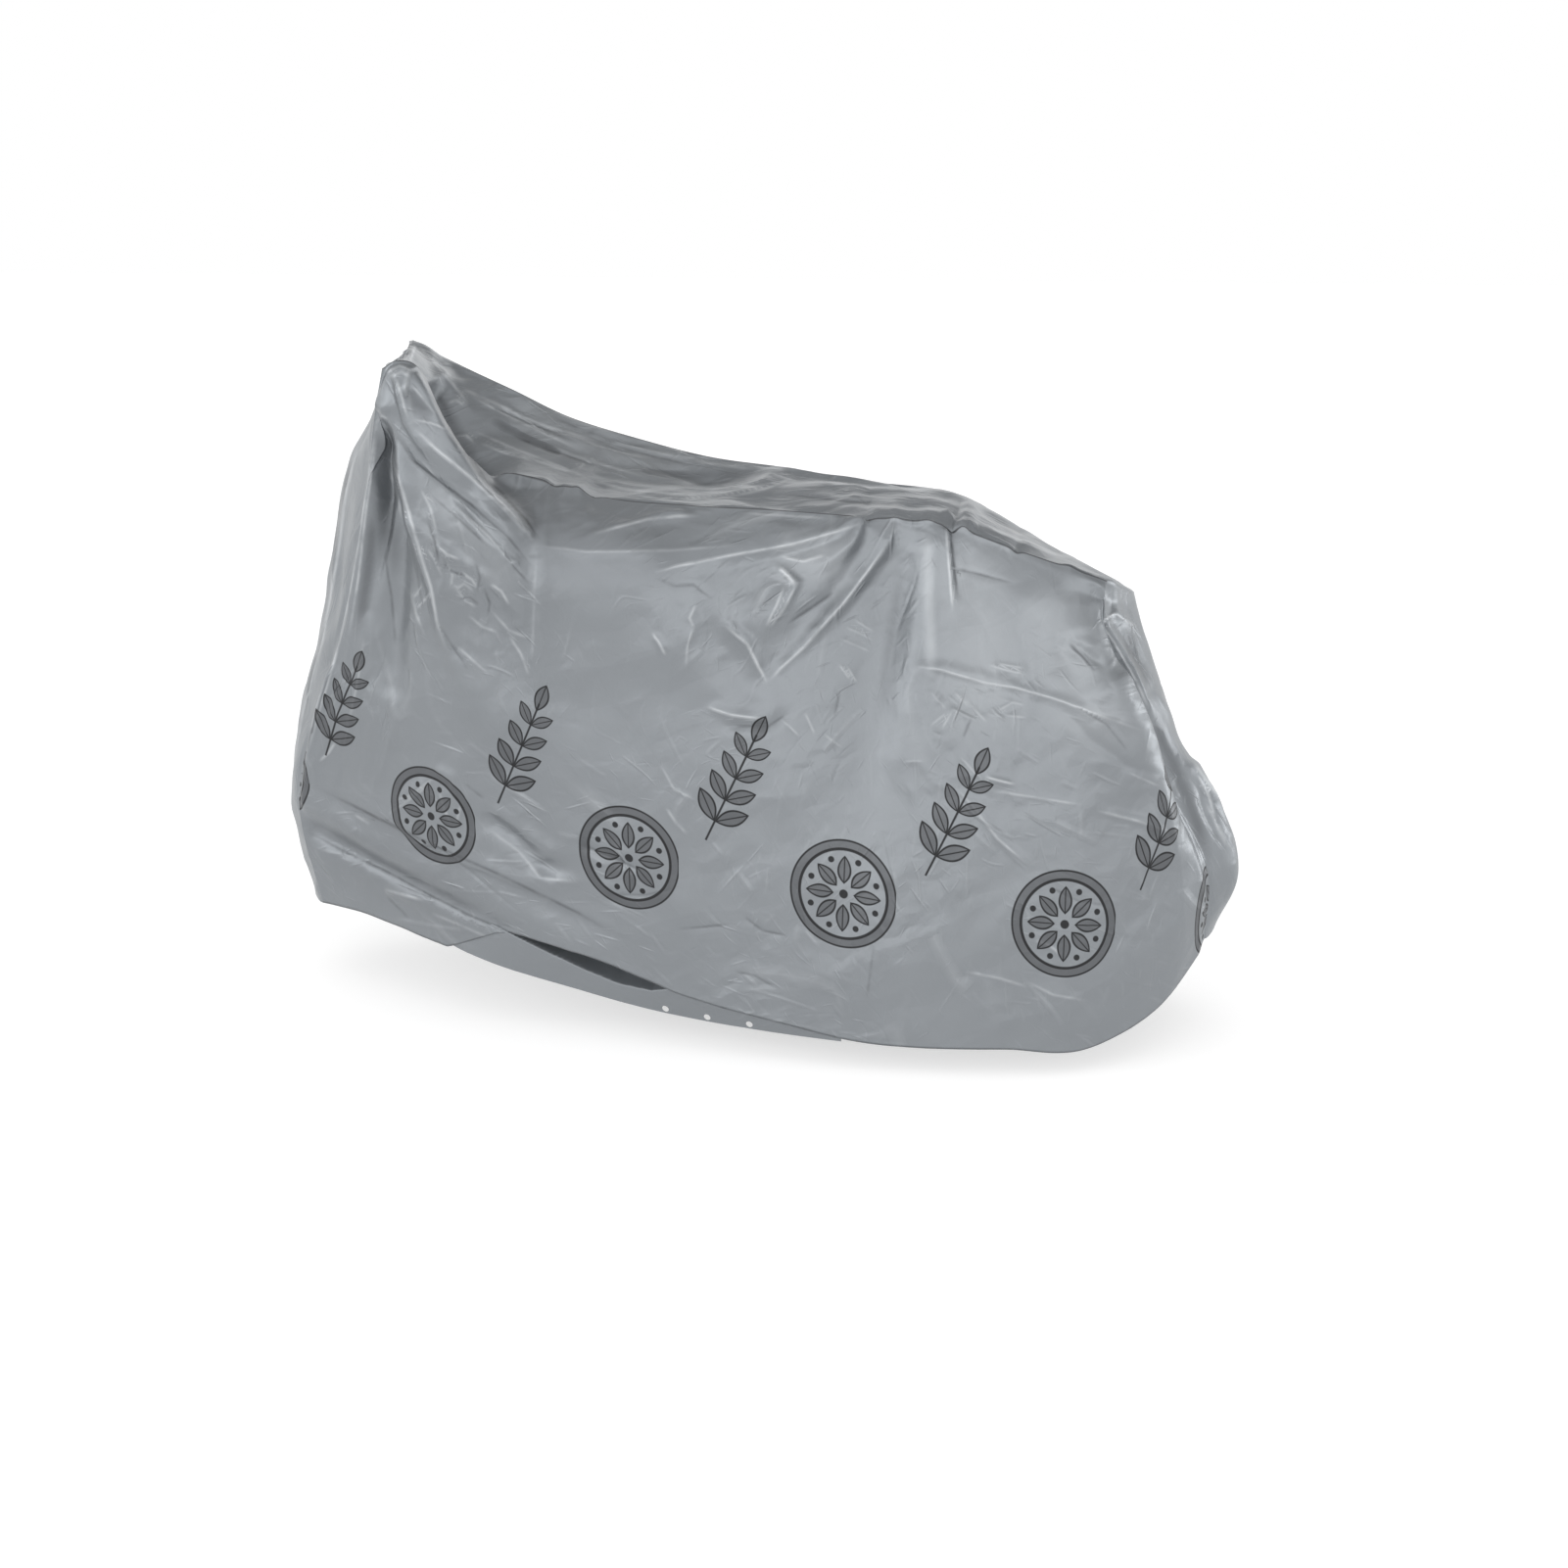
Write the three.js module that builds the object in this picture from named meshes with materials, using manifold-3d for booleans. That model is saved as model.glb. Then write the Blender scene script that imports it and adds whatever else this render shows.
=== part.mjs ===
// Fitted two-wheeler cover: a thin welded film draped from the ends of a turned handlebar,
// a saddle and a low tail. Millimetres, +Z up, front end towards -X, near side towards -Y.
import * as THREE from 'three';
import { mergeVertices } from 'three/addons/utils/BufferGeometryUtils.js';
import Module from 'manifold-3d';

// Driving dimensions
const length = 1400;
const width = 660;
const height = 910;
const sheet = 2;
const seamGap = 0.3;
const holeDiameter = 9;
const holeAboveEdge = 7.5;
const holePlaces = [-63, -1, 61];
const holeSides = 16;
const cutterLength = 24;
const stripFront = -380;
const stripRear = 205;

// Grid steps along the cover, down a side and across the top, and down the strip
const stepsAlong = 46;
const stepsDown = 20;
const stepsAcross = 8;
const stepsStrip = 4;

// Rows crowd towards the seam by this power
const rowCrowding = 1.15;
const levelOf = (j) => (j / stepsDown) ** rowCrowding;

// One row for each cross-section, front to rear. seam, ridge and hem are the near side's points,
// far is the seam on the other side, farHemY its hem; bow pushes the lower wall along X and
// swell pushes the wall outwards.
const sections = [
  { at: 'front seam', seam: [-392, -318, 900], ridge: [-413, -306, 838], hem: [-636, -108, 94],
    bow: -58, swell: 0, far: [-644, 330, 892], farHemY: 108 },
  { at: 'knuckle', seam: [-372, -312, 910], ridge: [-384, -324, 876], hem: [-560, -135, 95],
    bow: -44, swell: 0, far: [-630, 327, 886], farHemY: 140 },
  { at: 'grip', seam: [-350, -290, 898], ridge: [-338, -326, 866], hem: [-480, -165, 87],
    bow: -30, swell: 4, far: [-590, 320, 870], farHemY: 168 },
  { at: 'grip flank', seam: [-346, -214, 828], ridge: [-302, -314, 806], hem: [-395, -198, 80],
    bow: -18, swell: 4, far: [-530, 304, 848], farHemY: 196 },
  { at: 'dip', seam: [-345, -118, 762], ridge: [-256, -290, 738], hem: [-300, -222, 88],
    bow: -8, swell: 6, far: [-450, 284, 820], farHemY: 214 },
  { at: 'dip end', seam: [-266, -118, 748], ridge: [-198, -252, 668], hem: [-195, -236, 92],
    bow: 0, swell: 8, far: [-350, 250, 786], farHemY: 224 },
  { at: 'reach', seam: [-165, -120, 718], ridge: [-110, -236, 664], hem: [-90, -240, 69],
    bow: 0, swell: 10, far: [-230, 208, 762], farHemY: 230 },
  { at: 'mid', seam: [-45, -120, 711], ridge: [-15, -212, 650], hem: [10, -240, 44],
    bow: 0, swell: 14, far: [-100, 170, 741], farHemY: 232 },
  { at: 'saddle nose', seam: [72, -112, 708], ridge: [88, -166, 662], hem: [110, -240, 26],
    bow: 0, swell: 22, far: [27, 142, 732], farHemY: 232 },
  { at: 'saddle', seam: [190, -104, 702], ridge: [196, -130, 652], hem: [215, -236, 8],
    bow: 0, swell: 32, far: [150, 122, 719], farHemY: 228 },
  { at: 'saddle back', seam: [303, -102, 694], ridge: [305, -124, 640], hem: [315, -226, 4],
    bow: 0, swell: 32, far: [282, 112, 707], farHemY: 220 },
  { at: 'slope', seam: [400, -86, 662], ridge: [400, -116, 600], hem: [420, -206, 5],
    bow: 6, swell: 28, far: [375, 110, 660], farHemY: 208 },
  { at: 'tail', seam: [476, -70, 636], ridge: [474, -108, 566], hem: [520, -170, 0],
    bow: 14, swell: 18, far: [460, 98, 616], farHemY: 192 },
  { at: 'tail turn', seam: [502, -62, 627], ridge: [500, -92, 556], hem: [610, -88, 38],
    bow: 26, swell: 8, far: [512, 88, 596], farHemY: 150 },
  { at: 'rear seam', seam: [514, -58, 622], ridge: [512, -76, 558], hem: [668, 0, 112],
    bow: 36, swell: 0, far: [540, 80, 582], farHemY: 104 },
];
const farRidge = { out: 14, drop: 70, frontDrop: 120 };
const farBowShare = 0.2;
const farHemBack = 30;
const frontFade = 4;
const frontHalf = 0.5;
const levels = { seam: 0, ridge: 0.12, belly: 0.45, skirt: 0.78, hem: 1 };
const bowAt = { belly: 0.3, skirt: 1 };
const swellAt = { belly: 1, skirt: 0.8 };

// How far the middle of the top band stands out from its two seams, from front hem to rear hem
const frontCrown = [70, 74, 66, 58, 20, -6];
const frontCrownAt = [0, 0.22, 0.55, 0.78, 0.88, 1];
const topCrown = [-6, -14, -28, -36, -34, -28, -24, -16, -6, 4, 8, 8, 6, 4, 4];
const rearCrown = [8, 24, 28, 34, 12];

// A fold loses this share of its height at its far end, and rises over this many rows from a seam
const foldTaper = 0.6;
const seamRows = 2;

// Main folds of a side: a line of [x, z] points, its half-width and its height (below 0, a trough)
const nearFolds = [
  { name: 'grip ridge', line: [[-389, 835], [-352, 694], [-311, 488], [-280, 400]], half: 26, rise: 20 },
  { name: 'front wedge', line: [[-398, 820], [-400, 690], [-425, 560], [-440, 470]], half: 24, rise: -24 },
  { name: 'front pleat', line: [[-560, 470], [-625, 320]], half: 22, rise: 14 },
  { name: 'flank hollow', line: [[-290, 730], [-270, 600], [-235, 480]], half: 34, rise: -14 },
  { name: 'root pleat', line: [[189, 690], [110, 600], [20, 560]], half: 26, rise: 14 },
  { name: 'notch', line: [[20, 560], [70, 490], [140, 560], [190, 640]], half: 26, rise: -14 },
  { name: 'long valley', line: [[240, 640], [215, 480], [190, 300], [185, 150]], half: 30, rise: -20 },
  { name: 'saddle band', line: [[278, 660], [278, 520], [262, 400]], half: 22, rise: 12 },
  { name: 'tail hollow', line: [[478, 600], [470, 540], [500, 470]], half: 24, rise: -14 },
  { name: 'tail ridge', line: [[520, 480], [560, 380], [610, 260]], half: 26, rise: 14 },
  { name: 'upper sweep', line: [[-640, 275], [-480, 205], [-330, 150], [-190, 120]], half: 24, rise: 10 },
  { name: 'lower sweep', line: [[-670, 222], [-515, 181], [-376, 146], [-270, 122]], half: 22, rise: -14 },
];
const farFolds = [
  { name: 'grip ridge', line: [[-610, 800], [-540, 600], [-470, 420]], half: 30, rise: 20 },
  { name: 'front wedge', line: [[-640, 720], [-610, 540]], half: 26, rise: -18 },
  { name: 'dip hollow', line: [[-400, 720], [-330, 560], [-300, 400]], half: 42, rise: -24 },
  { name: 'saddle band', line: [[170, 660], [150, 480], [120, 260]], half: 30, rise: 16 },
  { name: 'long valley', line: [[250, 640], [235, 430], [225, 200]], half: 34, rise: -22 },
  { name: 'tail ridge', line: [[440, 560], [510, 400], [560, 240]], half: 30, rise: 14 },
  { name: 'lower sweep', line: [[-600, 230], [-380, 160], [-120, 120]], half: 26, rise: -14 },
];

// The strip's lower edge, one row for each section
const stripEdge = [
  { x: -395, y: -190, z: 76 },
  { x: -300, y: -200, z: 56 },
  { x: -200, y: -202, z: 34 },
  { x: -100, y: -205, z: 15 },
  { x: 0, y: -210, z: 5 },
  { x: 105, y: -217, z: 1 },
  { x: 215, y: -228, z: 2 },
];

// Cubic through the values at their knots, with each inner slope taken across its neighbours
function through(knots, values, t) {
  const last = knots.length - 1;
  let i = 0;
  while (i < last - 1 && t > knots[i + 1]) i += 1;
  const slope = (j) => {
    const a = Math.max(j - 1, 0);
    const b = Math.min(j + 1, last);
    return (values[b] - values[a]) / (knots[b] - knots[a]);
  };
  const span = knots[i + 1] - knots[i];
  const s = (t - knots[i]) / span;
  const s2 = s * s;
  const s3 = s2 * s;
  return values[i] * (2 * s3 - 3 * s2 + 1) + slope(i) * span * (s3 - 2 * s2 + s)
    + values[i + 1] * (3 * s2 - 2 * s3) + slope(i + 1) * span * (s3 - s2);
}

const evenKnots = (count) => Array.from({ length: count }, (_, i) => i / (count - 1));
const sectionKnots = evenKnots(sections.length);
const column = (u, pick) => through(sectionKnots, sections.map(pick), u);
const pointAt = (u, pick) => new THREE.Vector3(
  column(u, (row) => pick(row)[0]),
  column(u, (row) => pick(row)[1]),
  column(u, (row) => pick(row)[2]),
);

// A side at u along and t down: seam, ridge, two wall points and hem joined by one cubic
function sidePoint(u, t, side) {
  const near = side < 0;
  const seam = pointAt(u, (row) => (near ? row.seam : row.far));
  const hem = pointAt(u, (row) => row.hem);
  let ridge;
  if (near) {
    ridge = pointAt(u, (row) => row.ridge);
  } else {
    hem.y = column(u, (row) => row.farHemY);
    hem.x += farHemBack * (1 - u) ** frontFade;
    const drop = farRidge.drop + (farRidge.frontDrop - farRidge.drop) * (1 - u) ** frontFade;
    ridge = seam.clone().lerp(hem, drop / (seam.z - hem.z));
    ridge.y += farRidge.out * Math.sin(Math.PI * u);
  }
  const bow = column(u, (row) => row.bow) * (near || u > frontHalf ? 1 : farBowShare);
  const swell = column(u, (row) => row.swell) * side;
  const wall = (level) => {
    const share = (levels[level] - levels.ridge) / (1 - levels.ridge);
    const point = ridge.clone().lerp(hem, share);
    point.x += bow * bowAt[level];
    point.y += swell * swellAt[level];
    return point;
  };
  const points = [seam, ridge, wall('belly'), wall('skirt'), hem];
  const knots = Object.values(levels);
  return new THREE.Vector3(
    through(knots, points.map((p) => p.x), t),
    through(knots, points.map((p) => p.y), t),
    through(knots, points.map((p) => p.z), t),
  );
}

// A side's grid: rows of points from seam to hem, one row for each step along
function sideGrid(side) {
  const grid = [];
  for (let i = 0; i <= stepsAlong; i += 1) {
    const row = [];
    for (let j = 0; j <= stepsDown; j += 1) {
      row.push(sidePoint(i / stepsAlong, levelOf(j), side));
    }
    grid.push(row);
  }
  return grid;
}

// Distance from (x, z) to a fold's line, with how far along the line the nearest point is
function foldReach(line, x, z) {
  let best = { distance: Infinity, along: 0 };
  for (let i = 0; i < line.length - 1; i += 1) {
    const [ax, az] = line[i];
    const dx = line[i + 1][0] - ax;
    const dz = line[i + 1][1] - az;
    const share = THREE.MathUtils.clamp(((x - ax) * dx + (z - az) * dz) / (dx * dx + dz * dz), 0, 1);
    const distance = Math.hypot(x - ax - share * dx, z - az - share * dz);
    if (distance < best.distance) best = { distance, along: (i + share) / (line.length - 1) };
  }
  return best;
}

// Raise a side's folds along its normals: a bell across each line, lower at its far end,
// and nothing at the seams
function raiseFolds(grid, folds, normals) {
  return grid.map((row, i) => row.map((point, j) => {
    const fromSeams = Math.min(i, stepsAlong - i, j) / seamRows;
    const hold = THREE.MathUtils.smoothstep(fromSeams, 0, 1);
    let rise = 0;
    for (const fold of folds) {
      const { distance, along } = foldReach(fold.line, point.x, point.z);
      rise += fold.rise * Math.exp(-((distance / fold.half) ** 2)) * (1 - foldTaper * along ** 2);
    }
    return point.clone().addScaledVector(normals[i][j], rise * hold);
  }));
}

// The top band: it shares both sides' seams, up the front, along the top and down the rear
function bandGrid(near, far) {
  const path = [];
  for (let j = stepsDown; j > 0; j -= 1) {
    const crown = through(frontCrownAt, frontCrown, 1 - levelOf(j));
    path.push([near[0][j], far[0][j], crown]);
  }
  for (let i = 0; i <= stepsAlong; i += 1) {
    path.push([near[i][0], far[i][0], through(sectionKnots, topCrown, i / stepsAlong)]);
  }
  for (let j = 1; j <= stepsDown; j += 1) {
    const crown = through(Object.values(levels), rearCrown, levelOf(j));
    path.push([near[stepsAlong][j], far[stepsAlong][j], crown]);
  }
  return path.map(([a, b, crown], i) => {
    const before = path[Math.max(i - 1, 0)];
    const after = path[Math.min(i + 1, path.length - 1)];
    const run = after[0].clone().add(after[1]).sub(before[0]).sub(before[1]);
    const outward = run.cross(b.clone().sub(a)).normalize();
    const row = [];
    for (let k = 0; k <= stepsAcross; k += 1) {
      const q = k / stepsAcross;
      row.push(a.clone().lerp(b, q).addScaledVector(outward, crown * 4 * q * (1 - q)));
    }
    return row;
  });
}

// Normals of several grids taken together, so that they agree along a shared seam
const spot = (p) => `${p.x.toFixed(3)} ${p.y.toFixed(3)} ${p.z.toFixed(3)}`;
function sharedNormals(grids) {
  const sums = new Map();
  for (const { grid, flip } of grids) {
    for (let i = 0; i < grid.length - 1; i += 1) {
      for (let j = 0; j < grid[0].length - 1; j += 1) {
        const corners = [grid[i][j], grid[i + 1][j], grid[i + 1][j + 1], grid[i][j + 1]];
        const normal = corners[2].clone().sub(corners[0]).cross(corners[3].clone().sub(corners[1]));
        if (flip) normal.negate();
        for (const corner of corners) {
          const key = spot(corner);
          sums.set(key, (sums.get(key) ?? new THREE.Vector3()).add(normal));
        }
      }
    }
  }
  return ({ grid }) => grid.map((row) => row.map((p) => sums.get(spot(p)).clone().normalize()));
}

// Move a grid's named edges back from a seam by half the gap, within the grid's own surface
function pullBack(grid, edges) {
  const lastI = grid.length - 1;
  const lastJ = grid[0].length - 1;
  const step = (p, towards) => towards.clone().sub(p).setLength(seamGap / 2);
  return grid.map((row, i) => row.map((p, j) => {
    const moved = p.clone();
    if (edges.first && i === 0) moved.add(step(p, grid[1][j]));
    if (edges.last && i === lastI) moved.add(step(p, grid[lastI - 1][j]));
    if (edges.start && j === 0) moved.add(step(p, grid[i][1]));
    if (edges.end && j === lastJ) moved.add(step(p, grid[i][lastJ - 1]));
    return moved;
  }));
}

// A closed sheet between an outer and an inner grid
function sheetGeometry(outer, inner, flip) {
  const rows = outer.length;
  const columns = outer[0].length;
  const positions = [...outer.flat(), ...inner.flat()].flatMap((p) => p.toArray());
  const top = (i, j) => i * columns + j;
  const under = (i, j) => rows * columns + i * columns + j;
  const index = [];
  const quad = (a, b, c, d) => (flip ? index.push(a, c, b, a, d, c) : index.push(a, b, c, a, c, d));
  for (let i = 0; i < rows - 1; i += 1) {
    for (let j = 0; j < columns - 1; j += 1) {
      quad(top(i, j), top(i + 1, j), top(i + 1, j + 1), top(i, j + 1));
      quad(under(i, j), under(i, j + 1), under(i + 1, j + 1), under(i + 1, j));
    }
    quad(top(i, 0), under(i, 0), under(i + 1, 0), top(i + 1, 0));
    quad(under(i + 1, columns - 1), under(i, columns - 1), top(i, columns - 1), top(i + 1, columns - 1));
  }
  for (let j = 0; j < columns - 1; j += 1) {
    quad(top(0, j + 1), under(0, j + 1), under(0, j), top(0, j));
    quad(top(rows - 1, j), under(rows - 1, j), under(rows - 1, j + 1), top(rows - 1, j + 1));
  }
  const geometry = new THREE.BufferGeometry();
  geometry.setAttribute('position', new THREE.Float32BufferAttribute(positions, 3));
  geometry.setIndex(index);
  return geometry;
}

const inset = (grid, normals, depth) => grid.map((row, i) => row.map(
  (p, j) => p.clone().addScaledVector(normals[i][j], -depth),
));

// The three panels share one surface, so their folds and insides are worked out together
function panelSurfaces() {
  const nearSmooth = { grid: sideGrid(-1), flip: true };
  const farSmooth = { grid: sideGrid(1), flip: false };
  const smooth = sharedNormals([nearSmooth, farSmooth]);
  const near = { grid: raiseFolds(nearSmooth.grid, nearFolds, smooth(nearSmooth)), flip: true };
  const far = { grid: raiseFolds(farSmooth.grid, farFolds, smooth(farSmooth)), flip: false };
  const band = { grid: bandGrid(near.grid, far.grid), flip: false };
  const normalsOf = sharedNormals([near, far, band]);
  for (const panel of [near, far, band]) {
    panel.normals = normalsOf(panel);
    panel.inner = inset(panel.grid, panel.normals, sheet);
  }
  return { near, far, band };
}

const panels = panelSurfaces();
const sideSeams = { first: true, last: true, start: true };
const bandSeams = { start: true, end: true };
const panelGeometry = ({ grid, inner, flip }, seams) => sheetGeometry(
  pullBack(grid, seams),
  pullBack(inner, seams),
  flip,
);

// The strip hangs inside the near side's lower edge, leaning in to its own lower edge
function stripGrid({ grid, inner, normals }) {
  const knots = stripEdge.map((row) => row.x);
  const lap = stepsDown - 1;
  const rows = [];
  inner.forEach((line, i) => {
    const head = line[lap].clone().addScaledVector(normals[i][lap], -seamGap);
    if (grid[i][lap].x < stripFront || grid[i][lap].x > stripRear) return;
    const foot = new THREE.Vector3(
      head.x,
      through(knots, stripEdge.map((row) => row.y), head.x),
      through(knots, stripEdge.map((row) => row.z), head.x),
    );
    rows.push(Array.from({ length: stepsStrip + 1 }, (_, j) => head.clone().lerp(foot, j / stepsStrip)));
  });
  return rows;
}

const wasm = await Module();
wasm.setup();

function toSolid(geometry) {
  const vertProperties = new Float32Array(geometry.attributes.position.array);
  const triVerts = new Uint32Array(geometry.index.array);
  return new wasm.Manifold(new wasm.Mesh({ numProp: 3, vertProperties, triVerts }));
}

function toGeometry(solid) {
  const mesh = solid.getMesh();
  const geometry = new THREE.BufferGeometry();
  geometry.setAttribute('position', new THREE.Float32BufferAttribute(mesh.vertProperties, 3));
  geometry.setIndex(new THREE.Uint32BufferAttribute(mesh.triVerts, 1));
  return geometry;
}

// A round hole's cutter, standing along Y
function holeCutter(x) {
  const knots = stripEdge.map((row) => row.x);
  const cutter = new THREE.CylinderGeometry(holeDiameter / 2, holeDiameter / 2, cutterLength, holeSides);
  cutter.deleteAttribute('normal');
  cutter.deleteAttribute('uv');
  cutter.translate(
    x,
    through(knots, stripEdge.map((row) => row.y), x),
    through(knots, stripEdge.map((row) => row.z), x) + holeAboveEdge,
  );
  return cutter;
}

const stripOuter = stripGrid(panels.near);
const stripNormals = sharedNormals([{ grid: stripOuter, flip: true }])({ grid: stripOuter });
const stripGeometry = sheetGeometry(stripOuter, inset(stripOuter, stripNormals, sheet), true);

const stripSolid = holePlaces.reduce(
  (solid, x) => solid.subtract(toSolid(mergeVertices(holeCutter(x)))),
  toSolid(stripGeometry),
);

// Fit the draped surface to the cover's stated length, width and height, with its lowest hem at z = 0
const geometries = {
  near_panel: panelGeometry(panels.near, sideSeams),
  far_panel: panelGeometry(panels.far, sideSeams),
  top_band: panelGeometry(panels.band, bandSeams),
  hem_strip: toGeometry(stripSolid),
};
const box = new THREE.Box3();
for (const geometry of Object.values(geometries)) {
  geometry.computeBoundingBox();
  box.union(geometry.boundingBox);
}
const span = box.getSize(new THREE.Vector3());
const middle = box.getCenter(new THREE.Vector3());
const fit = new THREE.Matrix4()
  .makeScale(length / span.x, width / span.y, height / span.z)
  .multiply(new THREE.Matrix4().makeTranslation(-middle.x, -middle.y, -box.min.z));

const film = new THREE.MeshStandardMaterial({ color: 0x9a9fa3, roughness: 0.42, metalness: 0.35 });
const filmUnder = new THREE.MeshStandardMaterial({ color: 0x8d9296, roughness: 0.45, metalness: 0.3 });

const cover = new THREE.Group();
for (const [name, geometry] of Object.entries(geometries)) {
  const mesh = new THREE.Mesh(geometry.applyMatrix4(fit), name === 'hem_strip' ? filmUnder : film);
  mesh.name = name;
  cover.add(mesh);
}

export default cover;
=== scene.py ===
import math
import bpy
import numpy as np
from mathutils import Matrix, Vector


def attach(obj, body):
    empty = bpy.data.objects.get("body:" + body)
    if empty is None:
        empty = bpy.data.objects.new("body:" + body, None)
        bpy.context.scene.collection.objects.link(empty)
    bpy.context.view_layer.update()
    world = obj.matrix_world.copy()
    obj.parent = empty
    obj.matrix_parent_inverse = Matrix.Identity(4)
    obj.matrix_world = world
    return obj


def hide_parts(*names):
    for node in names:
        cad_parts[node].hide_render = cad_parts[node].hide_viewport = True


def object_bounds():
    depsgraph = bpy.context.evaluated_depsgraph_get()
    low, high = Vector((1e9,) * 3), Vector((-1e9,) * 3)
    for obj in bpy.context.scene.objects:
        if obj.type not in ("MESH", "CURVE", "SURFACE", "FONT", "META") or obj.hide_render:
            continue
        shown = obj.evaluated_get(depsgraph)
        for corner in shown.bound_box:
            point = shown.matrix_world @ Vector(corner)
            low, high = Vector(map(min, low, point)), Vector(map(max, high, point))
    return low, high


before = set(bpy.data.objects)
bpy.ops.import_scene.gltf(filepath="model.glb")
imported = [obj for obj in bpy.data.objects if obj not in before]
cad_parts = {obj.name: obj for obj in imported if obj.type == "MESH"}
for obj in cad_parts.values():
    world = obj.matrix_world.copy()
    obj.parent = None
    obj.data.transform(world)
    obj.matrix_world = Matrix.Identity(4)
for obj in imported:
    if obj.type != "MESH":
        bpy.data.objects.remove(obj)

cadBox = [[float(c) for c in corner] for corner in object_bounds()]
scene = bpy.context.scene

# where the picture was taken from; positions on the picture are in its own pixels
picture = {
    "azimuth": 14, "elevation": 16, "distance": 2.9, "aim": (0.057, 0.0, 0.296),
    "focal": 2052, "side": 1601, "sensor": 36,
}


def pictureAxes(view):
    # right, up and back axes of a camera that looks at its aim from an azimuth and an elevation
    turn, tilt = math.radians(view["azimuth"]), math.radians(view["elevation"])
    right = np.array([math.cos(turn), math.sin(turn), 0.0])
    back = np.array([math.sin(turn) * math.cos(tilt), -math.cos(turn) * math.cos(tilt), math.sin(tilt)])
    return right, np.cross(back, right), back


def onPicture(points, view=picture):
    # picture position of each point: its offset across the view over its depth, times the focal length
    right, up, back = pictureAxes(view)
    away = points - (np.array(view["aim"]) + back * view["distance"])
    depth = -(away @ back)
    middle = view["side"] / 2
    return middle + view["focal"] * (away @ right) / depth, middle - view["focal"] * (away @ up) / depth


def placeCamera(view=picture):
    right, up, back = pictureAxes(view)
    data = bpy.data.cameras.new("pictureCamera")
    data.sensor_width = view["sensor"]
    data.lens = view["focal"] * view["sensor"] / view["side"]
    data.clip_end = 200
    camera = bpy.data.objects.new("pictureCamera", data)
    scene.collection.objects.link(camera)
    turn = Matrix(np.stack([right, up, back], axis=1).tolist()).to_4x4()
    turn.translation = np.array(view["aim"]) + back * view["distance"]
    camera.matrix_world = turn
    scene.camera = camera


placeCamera()
print("camera placed")

# cross-sections of the drape in millimetres, front to rear:
# near seam, near ridge, near hem, bow of the lower wall, swell, far seam, far hem's y
drape = {
    "rows": [
        ((-392, -318, 900), (-413, -306, 838), (-636, -108, 94), -58, 0, (-644, 330, 892), 108),
        ((-372, -312, 910), (-384, -324, 876), (-560, -135, 95), -44, 0, (-630, 327, 886), 140),
        ((-350, -290, 898), (-338, -326, 866), (-480, -165, 87), -30, 4, (-590, 320, 870), 168),
        ((-346, -214, 828), (-302, -314, 806), (-395, -198, 80), -18, 4, (-530, 304, 848), 196),
        ((-345, -118, 762), (-256, -290, 738), (-300, -222, 88), -8, 6, (-450, 284, 820), 214),
        ((-266, -118, 748), (-198, -252, 668), (-195, -236, 92), 0, 8, (-350, 250, 786), 224),
        ((-165, -120, 718), (-110, -236, 664), (-90, -240, 69), 0, 10, (-230, 208, 762), 230),
        ((-45, -120, 711), (-15, -212, 650), (10, -240, 44), 0, 14, (-100, 170, 741), 232),
        ((72, -112, 708), (88, -166, 662), (110, -240, 26), 0, 22, (27, 142, 732), 232),
        ((190, -104, 702), (196, -130, 652), (215, -236, 8), 0, 32, (150, 122, 719), 228),
        ((303, -102, 694), (305, -124, 640), (315, -226, 4), 0, 32, (282, 112, 707), 220),
        ((400, -86, 662), (400, -116, 600), (420, -206, 5), 6, 28, (375, 110, 660), 208),
        ((476, -70, 636), (474, -108, 566), (520, -170, 0), 14, 18, (460, 98, 616), 192),
        ((502, -62, 627), (500, -92, 556), (610, -88, 38), 26, 8, (512, 88, 596), 150),
        ((514, -58, 622), (512, -76, 558), (668, 0, 112), 36, 0, (540, 80, 582), 104),
    ],
    "levels": (0, 0.12, 0.45, 0.78, 1),
    "bowShare": (0.3, 1), "swellShare": (1, 0.8),
    "farRidge": {"out": 14, "drop": 70, "frontDrop": 120},
    "farBow": 0.2, "farHemBack": 30, "frontFade": 4,
    "low": (-707.3, -330.7, -1.4), "high": (705.5, 330.5, 909.9),
    "size": (1400, 660, 910),
}
crown = {
    "front": ((0, 0.22, 0.55, 0.78, 0.88, 1), (70, 74, 66, 58, 20, -6)),
    "top": (-6, -14, -28, -36, -34, -28, -24, -16, -6, 4, 8, 8, 6, 4, 4),
    "rear": (8, 24, 28, 34, 12),
}
steps = {"along": 440, "down": 214, "across": 208, "downPower": 1.1, "hemRows": 5, "hemDepth": 1.6,
         "holdDown": 5, "holdAlong": 7, "holdAcross": 5}
levelsDown = np.linspace(0, 1, steps["down"]) ** steps["downPower"]
filmMap = {"rise": 0.114, "from": -480, "drop": 87}    # rows of print rise to the front


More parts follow.
